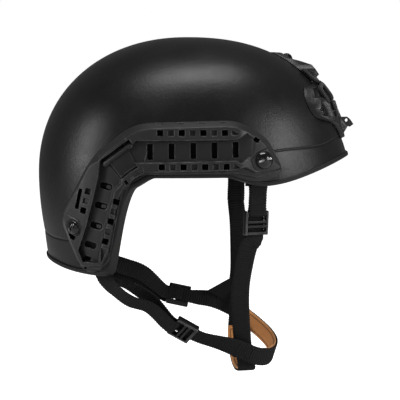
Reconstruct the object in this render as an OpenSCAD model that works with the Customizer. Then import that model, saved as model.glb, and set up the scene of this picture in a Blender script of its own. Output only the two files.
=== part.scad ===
// High-cut combat helmet with accessory rails, a front mount plate, pads, fit band and chin harness.
// Millimetres. +X is the front, +Y the wearer's left, +Z up.
// The origin is where the crown of the head rests under the crown pad.

/* [Shell] */
// From the middle of the shell to the brow
front_len = 142; // [136:1:150]
// From the middle of the shell to the back
rear_len = 134; // [130:1:142]
// Widest part of the shell, side to side
shell_width = 218; // [212:1:226]
// Height of the crown above the widest level
crown_h = 121; // [117:1:128]
// Thickness of the shell wall
shell_t = 8; // [6:0.5:9]
// How far the brow stands out under the crease
brow_flare = 3; // [2:0.5:6]
// How far the nape stands out under the crease
nape_flare = 2.5; // [1:0.5:4]
// Thickness of the rubber edge trim
trim_t = 1.2; // [0.8:0.2:1.8]
// Height of the edge trim up the shell wall
trim_band = 5.5; // [4:0.5:7]

/* [Rim heights] */
// Rim at the middle of the brow, below the origin
brow_drop = 77; // [74:1:80]
// Lowest point of the rim at the temple
temple_drop = 98; // [95:1:100]
// Rim over the ear
ear_drop = 90; // [88:1:92]
// Lowest point of the rim behind the ear
nape_drop = 176; // [172:1:180]
// Rim at the middle of the back
back_drop = 168; // [165:1:171]

/* [Rails] */
// Thickness of the rail's floor
rail_floor_t = 3; // [2:0.5:4]
// Height of the rail's ribs above its underside
rail_rib_h = 7.5; // [6:0.5:9]
// Side of a square accessory hole
rail_hole = 4.6; // [3.5:0.2:5.5]
// Distance from one accessory hole to the next
rail_pitch = 9.05; // [8:0.1:9.5]
// Width of an upright slot in the channel
rail_slot_w = 3.6; // [2.5:0.2:4.5]

/* [Screws] */
// Radius of the front rail screw's head
front_head_r = 7.4; // [6:0.2:8]
// Radius of the rear rail screw's head
rear_head_r = 6.2; // [5:0.2:7]
// Radius of the mount plate screw's head
plate_head_r = 4.6; // [4:0.2:5]
// Radius of every screw's shank
shank_r = 2.5; // [2:0.1:3]

/* [Mount plate] */
// Thickness of the mount plate where it lies on the shell
plate_t = 3.2; // [2.6:0.2:4]
// Width of the socket that a night-vision arm slides into
socket_w = 32; // [28:1:34]
// Radius of the lanyard eye
eye_r = 1.6; // [1.2:0.1:1.8]
// Diameter of the elastic cord
bungee_d = 4; // [3:0.5:4.5]

/* [Pads and fit band] */
// Thickness of the crown pad
crown_pad_t = 20; // [16:1:22]
// Thickness of the other pads
pad_t = 16; // [12:1:18]
// Radius of the fit dial
dial_r = 14; // [12:0.5:15]
// Travel of the nape cradle
fit_travel = 10; // [6:1:12]

/* [Harness] */
// Width of the webbing
web_w = 16.5; // [14:0.5:18]
// Thickness of the webbing
web_t = 1.6; // [1.2:0.1:2]
// Thickness of the leather lining
leather_t = 1.8; // [1.2:0.2:2.4]
// Length and width of a ladder lock
lock_size = 21; // [20:0.5:23]
// Radius of a ladder lock's bars
lock_bar_r = 1.4; // [1.2:0.1:1.6]

/* [Hidden] */

// clearance between pieces that lie on each other
gap = 0.3;
// clearance of the edge trim over the shell's curved wall
trim_gap = 0.4;
// place of the shell's middle
mid_x = -5;
// heights from the origin
crown_z = shell_t + crown_pad_t;
belt_z = crown_z - crown_h;
brow_z = -brow_drop;
temple_z = -temple_drop;
ear_z = -ear_drop;
nape_z = -nape_drop;
back_z = -back_drop;
half_w = shell_width / 2;
// roundness of the shell from above, in front and behind, and from the side
front_n = 2.05;
rear_n = 2.3;
rise_n = 2.2;
rise_shift = 0.07;
// share by which the back draws in below the widest level
tuck = 0.048;
tuck_depth = 59;

// Shape of the shell
// A place on it is given by an azimuth (0 in front, 90 on the left), a height and a distance outward.
function step(from, to, v) = let (t = max(0, min(1, (v - from) / (to - from)))) t * t * (3 - 2 * t);
function plan_r(a, off) =
    let (
        n = cos(a) > 0 ? front_n : rear_n,
        reach = (cos(a) > 0 ? front_len : rear_len) + off
    )
    pow(pow(abs(cos(a)) / reach, n) + pow(abs(sin(a)) / (half_w + off), n), -1 / n);
function swell(a, z, off) =
    let (n = rise_n + rise_shift * cos(a))
    z > belt_z
        ? pow(max(0, 1 - pow((z - belt_z) / (crown_h + off), n)), 1 / n)
        : 1 - tuck * pow((belt_z - z) / tuck_depth, 2);
function dome(a, z, off = 0) =
    let (r = plan_r(a, off) * swell(a, z, off))
    [mid_x + r * cos(a), r * sin(a), z];
// height of the dome over a place in plan
function dome_z(x, y, off) =
    let (
        a = atan2(y, x - mid_x),
        n = rise_n + rise_shift * cos(a),
        share = min(1, norm([x - mid_x, y]) / plan_r(a, off))
    )
    belt_z + (crown_h + off) * pow(1 - pow(share, n), 1 / n);
function outward(a, z) =
    let (c = cross(dome(a + 1, z) - dome(a - 1, z), dome(a, z + 1) - dome(a, z - 1))) c / norm(c);

// rim and crease, falling and rising in smooth steps from the brow round to the back
function rim(a) =
    let (s = abs(a))
    brow_z + (temple_z - brow_z) * step(10, 62, s) + (ear_z - temple_z) * step(59, 78, s)
        + (nape_z - ear_z) * (0.12 * step(108, 121, s) + 0.88 * step(117.5, 133.5, s))
        + (back_z - nape_z) * step(135, 175, s);
crease_rise = [17, 27, 23];
function crease(a) =
    let (s = abs(a))
    rim(a) + crease_rise[0] + (crease_rise[1] - crease_rise[0]) * step(25, 55, s)
        + (crease_rise[2] - crease_rise[1]) * step(140, 165, s);
function flare(a) =
    let (s = abs(a))
    brow_flare * (1 - 0.45 * step(15, 45, s)) * (1 - step(50, 64, s)) + nape_flare * step(135, 155, s);
// distance that the lower band stands out of the dome
function band_off(a, z) = flare(a) * max(0, min(1, (crease(a) - z) / (crease(a) - rim(a))));
// height of a band that is h wide measured square to the rim
function rim_slope(a) = (rim(a + 0.5) - rim(a - 0.5)) / norm(dome(a + 0.5, belt_z) - dome(a - 0.5, belt_z));
function along_rim(a, h) = h * sqrt(1 + pow(rim_slope(a), 2));

half_turn = [for (a = [0:7:105]) a, for (a = [108.5:3:137]) a, for (a = [142:7.5:175]) a];
turn = [for (a = half_turn) a, 180, for (k = [len(half_turn) - 1:-1:1]) -half_turn[k]];

// a closed tube of rings, each ring a list of points
function ring_faces(rings, n) = [for (r = [0:rings - 2]) for (k = [0:n - 1]) for (t = [0, 1])
    t == 0 ? [r * n + k, r * n + (k + 1) % n, (r + 1) * n + k]
        : [(r + 1) * n + k, r * n + (k + 1) % n, (r + 1) * n + (k + 1) % n]];
function closed_faces(rings, n) = concat(ring_faces(rings, n),
    [[for (k = [n - 1:-1:0]) k], [for (k = [0:n - 1]) (rings - 1) * n + k]]);
function fan_faces(rings, n) = concat(ring_faces(rings, n),
    [for (k = [0:n - 1]) [rings * n, (k + 1) % n, k]],
    [for (k = [0:n - 1]) [rings * n + 1, (rings - 1) * n + k, (rings - 1) * n + (k + 1) % n]]);

// A piece of the layer between two distances from the dome, over a range of azimuth and height
module layer(a0, a1, z0, z1, low, high, cols, rows) {
    n = 2 * (rows + 1);
    points = [for (c = [0:cols]) let (a = a0 + (a1 - a0) * c / cols)
        each concat(
            [for (r = [0:rows]) dome(a, z0 + (z1 - z0) * r / rows, high)],
            [for (r = [rows:-1:0]) dome(a, z0 + (z1 - z0) * r / rows, low)])];
    polyhedron(points, closed_faces(cols + 1, n), convexity = 4);
}

// Puts its children on the shell: their +Z points out of it and their +Y up along it.
module on_shell(a, z) {
    n = outward(a, z);
    translate(dome(a, z)) rotate([0, 0, atan2(n.y, n.x)]) rotate([0, 90 - asin(n.z), 0]) rotate([0, 0, 90])
        children();
}
module both_sides() {
    children();
    mirror([0, 1, 0]) children();
}
module left_of() { mirror([0, 1, 0]) children(); }
// Keeps a cut mesh in one piece.
module one_mesh() { resize([0, 0, 0]) children(); }

// azimuth in front at which the dome, off outward, passes over y at this height
function search_turn(y, z, off, a, reach) =
    reach < 0.01 ? a
        : search_turn(y, z, off, dome(a, z, off).y > y ? a - reach / 2 : a + reach / 2, reach / 2);

// Places of the screws: azimuth and height on the right side, or in front
front_screw = [-61.5, -77];
rear_screw = [-142, -134];
plate_top_screw = [0, 7];
// the plate's side screw sits this far across and this high on the brow
plate_side_at = [-56, -38];
plate_side_screw = [search_turn(plate_side_at.x, plate_side_at.y, 0, 0, 80), plate_side_at.y];

// Shell
outer_rows = 12;
module shell() {
    n = len(turn);
    top = belt_z + crown_h * 0.9985;
    upper = [for (k = [1:outer_rows]) pow(k / outer_rows, 1.8)];
    outside = concat(
        [for (s = upper) [for (a = turn) dome(a, top + (crease(a) - top) * s, 0)]],
        [for (s = [0.25, 0.6, 0.9]) [for (a = turn)
            let (z = crease(a) + (rim(a) - crease(a)) * s) dome(a, z, band_off(a, z))]],
        [[for (a = turn) dome(a, rim(a), flare(a) - 0.8)]]);
    inner_top = belt_z + (crown_h - shell_t) * 0.9985;
    inside = [for (s = [1, 0.92, 0.82, 0.71, 0.6, 0.49, 0.38, 0.28, 0.19, 0.12, 0.065, 0.03, 0.008])
        [for (a = turn) dome(a, inner_top + (rim(a) - inner_top) * s, -shell_t)]];
    rings = concat(outside, inside);
    points = concat([for (r = rings) each r], [[mid_x, 0, crown_z], [mid_x, 0, crown_z - shell_t]]);
    color("#232426") one_mesh() difference() {
        polyhedron(points, fan_faces(len(rings), n), convexity = 6);
        both_sides() {
            on_shell(front_screw[0], front_screw[1]) shank_hole();
            on_shell(rear_screw[0], rear_screw[1]) shank_hole();
            on_shell(plate_side_screw[0], plate_side_screw[1]) shank_hole();
        }
        on_shell(plate_top_screw[0], plate_top_screw[1]) shank_hole();
    }
}
module shank_hole() { translate([0, 0, -20]) cylinder(r = shank_r + gap, h = 40, $fn = 16); }

// Edge trim
module edge_trim() {
    section = function (a) let (out = flare(a), up = along_rim(a, trim_band), lip = trim_t)
        [dome(a, rim(a) + up, band_off(a, rim(a) + up) + trim_gap),
         dome(a, rim(a) + up, band_off(a, rim(a) + up) + trim_gap + lip),
         dome(a, rim(a) - 0.2, out + trim_gap + lip),
         dome(a, rim(a) - gap - lip, out - 1),
         dome(a, rim(a) - gap - lip, 1 - shell_t),
         dome(a, rim(a) - 0.2, -shell_t - gap - lip),
         dome(a, rim(a) + up, -shell_t - gap - lip),
         dome(a, rim(a) + up, -shell_t - gap),
         dome(a, rim(a) - gap, -shell_t - gap),
         dome(a, rim(a) - gap, out + trim_gap)];
    rings = [for (a = turn) section(a)];
    n = 10;
    count = len(rings);
    faces = [for (r = [0:count - 1]) for (k = [0:n - 1]) for (t = [0, 1])
        t == 0 ? [r * n + k, ((r + 1) % count) * n + k, r * n + (k + 1) % n]
            : [((r + 1) % count) * n + k, ((r + 1) % count) * n + (k + 1) % n, r * n + (k + 1) % n]];
    color("#161616") polyhedron([for (r = rings) each r], faces, convexity = 6);
}

// Rails, drawn as they are seen from the right side: x forward, then height
// Each station holds the outer edge, the inner edge, then the shares of the width at which the outer rib
// ends, the channel ends and the inner rib ends.
rail_low = trim_gap + trim_t + 2 * gap;
rail_stations = [
    [[-99, -172], [-91, -172.5], 0.3, 0.5, 0.8], [[-106, -165], [-84, -168.5], 0.3, 0.62, 0.82],
    [[-110, -155], [-78, -160.5], 0.34, 0.66, 0.85], [[-114.5, -144], [-75, -149.5], 0.4, 0.68, 0.87],
    [[-118.5, -131], [-72.4, -138.3], 0.45, 0.72, 0.88], [[-116, -120], [-70.4, -126.6], 0.42, 0.73, 0.88],
    [[-111, -108.5], [-68, -115.6], 0.37, 0.74, 0.88], [[-104, -95], [-65.8, -106.7], 0.32, 0.76, 0.9],
    [[-97, -81], [-63, -98.9], 0.26, 0.78, 0.9], [[-88, -69.5], [-59.8, -93.6], 0.22, 0.8, 0.9],
    [[-76, -59.5], [-55.8, -90.2], 0.24, 0.8, 0.9], [[-64, -51], [-53, -89], 0.28, 0.8, 0.92],
    [[-50, -45.5], [-46, -88.4], 0.34, 0.78, 0.93], [[-32, -44.5], [-32, -88.2], 0.35, 0.78, 0.93],
    [[-10, -44], [-10, -88], 0.36, 0.78, 0.93], [[10, -43.5], [10, -88], 0.37, 0.78, 0.93],
    [[25, -43.5], [24, -88.8], 0.38, 0.77, 0.93], [[35, -47], [33, -92], 0.42, 0.72, 0.9],
    [[45, -53], [42, -94.6], 0.5, 0.6, 0.88], [[54, -60], [52, -94.6], 0.5, 0.52, 0.88],
    [[61, -70], [61, -92], 0.5, 0.52, 0.88], [[66.5, -81], [67, -86], 0.5, 0.52, 0.88]];
// heights above the underside across a station, from the outer edge to the inner edge
rail_edge_h = 2.2;
rail_lobe_h = 5.5;
// azimuth at which the dome, h outward of the rail's underside, passes over x at this height
function search_azimuth(p, h, a, reach) =
    reach < 0.01 ? a
        : let (x = dome(a, p[1], band_off(a, p[1]) + rail_low + h).x)
            search_azimuth(p, h, x > p[0] ? a + reach / 2 : a - reach / 2, reach / 2);
function on_side(p, h) =
    let (a = search_azimuth(p, h, 90, 60)) dome(-a, p[1], band_off(a, p[1]) + rail_low + h);
function across(st, share) = st[0] + (st[1] - st[0]) * share;
function rail_ring(k) =
    let (
        st = rail_stations[k],
        end = k == 0 || k == len(rail_stations) - 1,
        rib = end ? rail_edge_h : rail_rib_h,
        floor_h = end ? rail_edge_h : rail_floor_t,
        top = [[1, 0], [1, rail_edge_h], [st[4] + 0.03, rail_edge_h], [st[4], rib], [st[3] + 0.03, rib],
            [st[3], floor_h], [st[2] + 0.03, floor_h], [st[2], rib], [0.1, rib], [0, rail_edge_h], [0, 0]],
        under = [[0.25, 0], [0.5, 0], [0.75, 0]]
    )
    [for (q = concat(top, under)) on_side(across(st, q[0]), q[1])];

top_row = [-37, -53.5];
low_row = [-36, -82.5];
row_count = 7;
slot_start = [-45, -69];
slot_pitch = 18;
slot_h = 12;
arm_tilt = 15;
arm_slots = [[-82, -99], [-86, -116], [-91, -133], [-95, -150]];
arm_holes = [for (k = [0:4]) [-73.5 - 2.25 * k, -111 - 8.75 * k]];
tail_holes = [[-97, -104], [-99.5, -112], [-102, -120]];

module side_view() { rotate([90, 0, 0]) linear_extrude(140) children(); }
module box_at(p, w, h, turned = 0) { translate(p) rotate(turned) square([w, h], center = true); }
module rail_openings() {
    for (k = [0:row_count - 1]) {
        box_at([top_row.x + rail_pitch * k, top_row.y], rail_hole, rail_hole);
        box_at([low_row.x + rail_pitch * k, low_row.y], rail_hole, rail_hole);
    }
    for (k = [0:4]) box_at([slot_start.x + slot_pitch * k, slot_start.y], rail_slot_w, slot_h);
    for (p = arm_slots) box_at(p, 9, 4.6, -arm_tilt);
    for (p = arm_holes) box_at(p, rail_hole, rail_hole, -arm_tilt);
    for (p = tail_holes) box_at(p, rail_hole, rail_hole, -arm_tilt);
    box_at([-105, -110], 2.6, 16, -10);
    box_at([45, -60], 4, 3.4, -30);
}
module rail_shape() {
    rings = [for (k = [0:len(rail_stations) - 1]) rail_ring(k)];
    one_mesh() difference() {
        polyhedron([for (r = rings) each r], closed_faces(len(rings), len(rings[0])), convexity = 8);
        side_view() rail_openings();
        on_shell(front_screw[0], front_screw[1]) screw_seat(front_head_r);
        on_shell(rear_screw[0], rear_screw[1]) screw_seat(rear_head_r);
    }
}
// the shank's hole, and a flat seat that the head stands on
module screw_seat(r) {
    shank_hole();
    translate([0, 0, rail_seat - gap]) cylinder(r = r + 1, h = 20, $fn = 24);
}
module right_rail() { color("#2b2b2d") rail_shape(); }
module left_rail() { color("#2b2b2d") left_of() rail_shape(); }

// Screws and nuts; a screw's seat is the distance of its head's underside from the dome
rail_seat = rail_low + rail_lobe_h + gap;
nut_h = 4;
module domed_screw(head_r, head_h, seat, length) {
    dome_r = (head_r * head_r + head_h * head_h) / (2 * head_h);
    rotate_extrude($fn = 48) {
        translate([0, seat - length]) square([shank_r, length + 0.5]);
        translate([0, seat]) intersection() {
            translate([0, head_h - dome_r]) circle(r = dome_r, $fn = 72);
            square([head_r, head_h]);
        }
    }
}
module nut(r, stand) {
    translate([0, 0, -shell_t - stand - nut_h]) difference() {
        cylinder(r = r, h = nut_h, $fn = 6);
        translate([0, 0, -1]) cylinder(r = shank_r + 0.1, h = nut_h + 2, $fn = 32);
    }
}
// distance from the shell's inside to a bracket, a bracket's thickness, and a nut's distance from the shell
bracket_gap = 3.3;
bracket_t = 1.6;
strap_nut_stand = bracket_gap + bracket_t + 0.5;
// length of a screw from under its head to its tip
rail_screw_len = rail_seat + shell_t + strap_nut_stand + nut_h + 1;
plate_low = 2 * gap;
plate_seat = plate_low + plate_t + gap;
plate_nut_stand = 4 * gap;
plate_screw_len = plate_seat + shell_t + plate_nut_stand + nut_h;
module rail_front_screws() {
    color("#3a3a3c") both_sides() on_shell(front_screw[0], front_screw[1])
        domed_screw(front_head_r, 4.2, rail_seat, rail_screw_len);
}
module rail_rear_screws() {
    color("#3a3a3c") both_sides() on_shell(rear_screw[0], rear_screw[1]) difference() {
        domed_screw(rear_head_r, 4.2, rail_seat, rail_screw_len);
        translate([-0.7, -8, rail_seat + 2.2]) cube([1.4, 16, 4]);
    }
}
module rail_front_nuts() {
    color("#4a4a4c") both_sides() on_shell(front_screw[0], front_screw[1]) nut(5, strap_nut_stand);
}
module rail_rear_nuts() {
    color("#4a4a4c") both_sides() on_shell(rear_screw[0], rear_screw[1]) nut(5, strap_nut_stand);
}
module plate_screws() {
    color("#3a3a3c") {
        both_sides() on_shell(plate_side_screw[0], plate_side_screw[1])
            domed_screw(plate_head_r, 2.8, plate_seat, plate_screw_len);
        on_shell(plate_top_screw[0], plate_top_screw[1])
            domed_screw(plate_head_r, 2.8, plate_seat, plate_screw_len);
    }
}
module plate_nuts() {
    color("#4a4a4c") {
        both_sides() on_shell(plate_side_screw[0], plate_side_screw[1]) nut(4.6, plate_nut_stand);
        on_shell(plate_top_screw[0], plate_top_screw[1]) nut(4.6, plate_nut_stand);
    }
}

// Mount plate on the brow, drawn by its half width at each height
plate_rows = [[14.5, 7], [10, 10], [5, 14], [-1, 19.5], [-8, 21.5], [-12.5, 24], [-15, 39], [-17, 51],
    [-24, 58.5], [-32, 63], [-39, 63.5], [-44, 60], [-46.5, 50], [-50, 39], [-56, 32], [-62.5, 28]];
// the place in front, y across and z up, that lies off outward of the dome
function in_front(y, z, off) = dome(search_turn(y, z, off, 0, 80), z, off);
module front_sheet(rows, low, high, cols) {
    rings = [for (r = rows) concat(
        [for (c = [0:cols]) in_front(r[1] * (2 * c / cols - 1), r[0], high)],
        [for (c = [cols:-1:0]) in_front(r[1] * (2 * c / cols - 1), r[0], low)])];
    polyhedron([for (r = rings) each r], closed_faces(len(rings), 2 * (cols + 1)), convexity = 4);
}
socket_top = -13;
socket_low = -43;
rib_w = 5;
block_half = socket_w / 2 + rib_w;
// Outlines over the middle of the brow, each point a height and a distance outward of the dome
back_off = plate_low + 0.4;
block_side = [[9, back_off], [9, 3.4], [6.4, 6.6], [3.2, 10.2], [-0.1, 9.8], [-5.4, 8.6], [-8.7, 4.4],
    [-12, back_off], [-2, back_off]];
rib_side = [[-7, back_off], [-7, 5], [-18, 5.4], [-30, 5.6], [-44.5, 5], [-44.5, back_off],
    [-32, back_off], [-19, back_off]];
lip_side = [[-40.5, back_off], [-40.5, 3.4], [-44.4, 4.8], [-52, 8.4], [-57.7, 3.6], [-61.8, 1.6],
    [-61.8, back_off], [-52, back_off]];
// the boss round each side screw: its wall, its height above the plate and its foot inside the plate
boss_wall = 4;
boss_h = 3.2;
boss_low = plate_low + 0.9;
module from_side(width) { translate([0, width / 2, 0]) rotate([90, 0, 0]) linear_extrude(width) children(); }
function brow_at(p) = let (q = in_front(0, p[0], p[1])) [q.x, q.z];
module brow_profile(points) { polygon([for (p = points) brow_at(p)]); }
module mount_plate() {
    color("#29292b") one_mesh() difference() {
        union() {
            front_sheet(plate_rows, plate_low, plate_low + plate_t, 8);
            from_side(2 * block_half) brow_profile(block_side);
            from_side(2 * block_half + 6) brow_profile(lip_side);
            both_sides() translate([0, block_half - (rib_w + 1) / 2, 0])
                from_side(rib_w + 1) brow_profile(rib_side);
            both_sides() on_shell(plate_side_screw[0], plate_side_screw[1]) translate([0, 0, boss_low])
                cylinder(r = plate_head_r + boss_wall, h = plate_low + plate_t + boss_h - boss_low, $fn = 20);
        }
        translate([80, -socket_w / 2, socket_low]) cube([80, socket_w, socket_top - socket_low]);
        both_sides() on_shell(plate_side_screw[0], plate_side_screw[1]) plate_seat_cut();
        on_shell(plate_top_screw[0], plate_top_screw[1]) plate_seat_cut();
    }
}
module plate_seat_cut() {
    shank_hole();
    translate([0, 0, plate_seat - gap]) cylinder(r = plate_head_r + 0.6, h = 20, $fn = 20);
}
insert_t = 2;
module socket_insert() {
    top = socket_top - gap;
    low = socket_low + gap;
    half = socket_w / 2 - gap;
    color("#4b4b4e") one_mesh() difference() {
        front_sheet([for (k = [0:3]) [top + (low - top) * k / 3, half]], plate_low, plate_low + insert_t, 6);
        translate([100, -5, -34]) cube([60, 10, 12]);
    }
}
// An ear on the lip's upper slope, bored across for a lanyard, its outline in heights and distances outward
ear_w = 5;
ear_side = [[-44.2, 5.1], [-44.1, 11.4], [-46.4, 13.2], [-50.8, 14.8], [-53.2, 11], [-51.9, 8.65]];
eye = brow_at([-47.2, 9.8]);
module lanyard_bracket() {
    color("#3c3c3e") from_side(ear_w) difference() {
        brow_profile(ear_side);
        translate(eye) circle(r = eye_r, $fn = 40);
    }
}

// Elastic cords: each runs down beside the block and parts over the wing into a strand that ends in the hook
// and one that ends at the side screw's boss. A point is y, z and its distance from the dome.
bungee_r = bungee_d / 2;
bungee_lift = plate_seat + bungee_r + 0.4;
function cord_line(points) = [for (p = points) in_front(p[0], p[1], bungee_lift + p[2])];
bungee_route = cord_line([[-23.6, -1, -3.8], [-24.8, -4.5, -3.7], [-26.6, -8, -3.4], [-28.6, -11, -2.6],
    [-30.8, -13.8, 0], [-32.4, -17, 0.6], [-34.6, -20.5, 1.1], [-36.6, -24, 1.6], [-38.6, -27.5, 1.3]]);
bungee_end = cord_line([[-30.8, -13.8, 0], [-37, -15.4, 0.1], [-42.6, -17, 0.1], [-45.6, -20.5, 0.1],
    [-46.4, -25, 0.1], [-47, -29.5, 0.1]]);
hook_top = in_front(-39, -28.2, bungee_lift + 1.3);
hook_low = in_front(-45.6, -42, bungee_lift + 1.2);
function unit(v) = v / norm(v);
function tangent(p, i) = unit(p[min(i + 1, len(p) - 1)] - p[max(i - 1, 0)]);
module tube(route, r, sides) {
    rings = [for (i = [0:len(route) - 1])
        let (t = tangent(route, i), u = unit(cross(t, [0, 1, 0.3])), v = cross(t, u))
        [for (k = [0:sides - 1]) route[i] + r * (u * cos(360 * k / sides) - v * sin(360 * k / sides))]];
    polyhedron([for (q = rings) each q], closed_faces(len(rings), sides), convexity = 4);
}
module bungee() {
    tube(bungee_route, bungee_r, 8);
    tube(bungee_end, bungee_r, 8);
}
module right_bungee() { color("#1b1b1c") bungee(); }
module left_bungee() { color("#1b1b1c") left_of() bungee(); }
module rod(from, to, r, sides = 32) {
    d = to - from;
    translate(from) rotate([0, acos(d.z / norm(d)), atan2(d.y, d.x)])
        cylinder(r = r, h = norm(d), $fn = sides);
}
module bungee_hook() {
    rod(hook_top, hook_low, bungee_r + 0.6);
    peg = hook_low * 0.7 + hook_top * 0.3;
    foot = in_front(peg.y, peg.z, plate_seat + gap);
    rod(foot, peg, 1.5);
}
module right_bungee_hook() { color("#39393b") bungee_hook(); }
module left_bungee_hook() { color("#39393b") left_of() bungee_hook(); }

// Pads: soft blocks that follow the inside of the shell, with drawn-in edges
pad_seat = -shell_t - 3 * gap;
pad_sides = 20;
pad_back = [0.5, 0.97];
pad_face = [[1, 0.45], [0.86, 0.86], [0.5, 0.98]];
function square_round(v) = sign(v) * pow(abs(v), 0.62);
module pad_mesh(rings, back, face) {
    n = pad_sides;
    polyhedron(concat([for (r = rings) each r], [back, face]), fan_faces(len(rings), n), convexity = 4);
}
module wall_pad(a, z, half_a, half_z, thick) {
    place = function (s, k, off) let (t = 360 * k / pad_sides)
        dome(a + half_a * s * square_round(cos(t)), z + half_z * s * square_round(sin(t)), off);
    rings = concat(
        [for (s = pad_back) [for (k = [0:pad_sides - 1]) place(s, k, pad_seat)]],
        [for (q = pad_face) [for (k = [0:pad_sides - 1]) place(q[0], k, pad_seat - thick * q[1])]]);
    pad_mesh(rings, dome(a, z, pad_seat), dome(a, z, pad_seat - thick));
}
crown_pad_r = 46;
module crown_pad() {
    place = function (s, k, off)
        let (t = 360 * k / pad_sides, x = crown_pad_r * s * cos(t), y = crown_pad_r * s * sin(t))
        [x, y, dome_z(x, y, off)];
    seat = pad_seat;
    thick = crown_pad_t + shell_t + pad_seat;
    rings = concat(
        [for (s = pad_back) [for (k = [0:pad_sides - 1]) place(s, k, seat)]],
        [for (q = pad_face) [for (k = [0:pad_sides - 1]) place(q[0], k, seat - thick * q[1])]]);
    color("#1f1f20") pad_mesh(rings, [0, 0, dome_z(0, 0, seat)], [0, 0, dome_z(0, 0, seat - thick)]);
}
module front_pad() { color("#1f1f20") wall_pad(0, -57, 17, 13, pad_t - 4); }
module rear_pad() { color("#1f1f20") wall_pad(180, -85, 24, 30, pad_t); }
module right_front_pad() { color("#1f1f20") wall_pad(-52, -42, 17, 20, pad_t); }
module left_front_pad() { color("#1f1f20") left_of() wall_pad(-52, -42, 17, 20, pad_t); }
module right_rear_pad() { color("#1f1f20") wall_pad(-122, -50, 18, 26, pad_t); }
module left_rear_pad() { color("#1f1f20") left_of() wall_pad(-122, -50, 18, 26, pad_t); }

// Fit band: two flexible arms from the shell's sides into the dial housing at the nape
band_w = 12;
band_t = 1.4;
dial_t = 6;
dial_z = back_z + dial_r;
dial_clear = 1.5;
housing_t = 7;
housing_h = 20;
housing_w = 4 * fit_travel + 6;
housing_back = dome(180, back_z, -shell_t - gap - trim_t).x + dial_clear + dial_t + gap;
band_in_x = housing_back + housing_t / 2;
band_route = [[-78, -75, -9.2], [-88, -76, -9.2], [-100, -78, -10.5], [-112, -83, -13.5], [-122, -93, -16.5],
    [-131, -107, -19.4], [-140, -122, -21.2], [-149, -138, -23]];
band_line = concat([for (p = band_route) dome(p[0], p[1], p[2] - band_t / 2)],
    [[band_in_x, -housing_w / 2 - 14, dial_z + 5], [band_in_x, -housing_w / 2 - 5, dial_z + 1],
    [band_in_x, -housing_w / 2 + 1, dial_z], [band_in_x, -housing_w / 2 + fit_travel + 2, dial_z]]);
band_up = concat([for (p = band_route) unit(dome(p[0], p[1] + 1, p[2]) - dome(p[0], p[1], p[2]))],
    [for (k = [0:3]) [0, 0, 1]]);

// A ribbon of webbing through centre points, each with its own direction across
function mid(p, k) = (9 * (p[k] + p[k + 1]) - p[max(k - 1, 0)] - p[min(k + 2, len(p) - 1)]) / 16;
function finer(p) = [for (k = [0:len(p) - 1]) each k < len(p) - 1 ? [p[k], mid(p, k)] : [p[k]]];
module ribbon(centres, ways, width, thick, fine = true) {
    c = fine ? finer(centres) : centres;
    w = fine ? finer(ways) : ways;
    rings = [for (i = [0:len(c) - 1])
        let (
            t = tangent(c, i),
            n = unit(cross(t, w[i])) * thick / 2,
            s = unit(cross(n, t)) * width / 2
        )
        [c[i] - s - n, c[i] - s + n, c[i] + s + n, c[i] + s - n]];
    polyhedron([for (r = rings) each r], closed_faces(len(rings), 4), convexity = 6);
}
module right_fit_band() { color("#2a2a2c") ribbon(band_line, band_up, band_w, band_t, false); }
module left_fit_band() { color("#2a2a2c") left_of() ribbon(band_line, band_up, band_w, band_t, false); }
// the cradle lies inside the housing, touching its front face at the top
cradle_t = 2.4;
cradle_half = 12;
cradle_off = (mid_x - housing_back - housing_t - gap) / swell(180, dial_z + housing_h / 2, 0)
    - rear_len - cradle_t;
module nape_cradle() {
    color("#2a2a2c")
        layer(150, 210, dial_z - cradle_half, dial_z + cradle_half, cradle_off, cradle_off + cradle_t, 12, 3);
}
nape_pad_t = 9;
module nape_pad() {
    place = function (s, k, off) let (t = 360 * k / pad_sides)
        dome(180 + 29 * s * square_round(cos(t)), dial_z + 12 * s * square_round(sin(t)), off);
    seat = cradle_off - 2 * gap;
    rings = concat(
        [for (s = pad_back) [for (k = [0:pad_sides - 1]) place(s, k, seat)]],
        [for (q = pad_face) [for (k = [0:pad_sides - 1]) place(q[0], k, seat - nape_pad_t * q[1])]]);
    color("#1f1f20") pad_mesh(rings, dome(180, dial_z, seat), dome(180, dial_z, seat - nape_pad_t));
}
dial_shaft_r = 3;
module dial_housing() {
    slot_h = band_w + 2 * gap + 1;
    color("#2f2f31") difference() {
        translate([housing_back, -housing_w / 2, dial_z - housing_h / 2])
            cube([housing_t, housing_w, housing_h]);
        translate([band_in_x - band_t / 2 - 0.5, -housing_w, dial_z - slot_h / 2])
            cube([band_t + 1, 2 * housing_w, slot_h]);
        translate([housing_back - 1, 0, dial_z]) rotate([0, 90, 0])
            cylinder(r = dial_shaft_r + 0.05, h = 3.6, $fn = 48);
    }
}
module fit_dial() {
    color("#303032") translate([housing_back - gap, 0, dial_z]) rotate([0, -90, 0]) {
        difference() {
            cylinder(r = dial_r, h = dial_t, $fn = 64);
            for (k = [0:11]) rotate([0, 0, 30 * k]) translate([dial_r + 1.4, 0, -1])
                cylinder(r = 2.4, h = dial_t + 2, $fn = 24);
        }
        translate([0, 0, -2.6]) cylinder(r = dial_shaft_r, h = 3, $fn = 48);
    }
}

// Chin harness
// Directions on the shell: forward along it, up along it and out of it.
function axes_on(a, z) =
    let (n = outward(a, z), h = atan2(n.y, n.x), side = [-sin(h), cos(h), 0])
    [side, cross(n, side), n];
function from_shell(a, z, p) = dome(a, z) + p * axes_on(a, z);
function seen_from(a, z, p) = let (d = p - dome(a, z), b = axes_on(a, z)) [d * b[0], d * b[1], d * b[2]];

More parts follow.
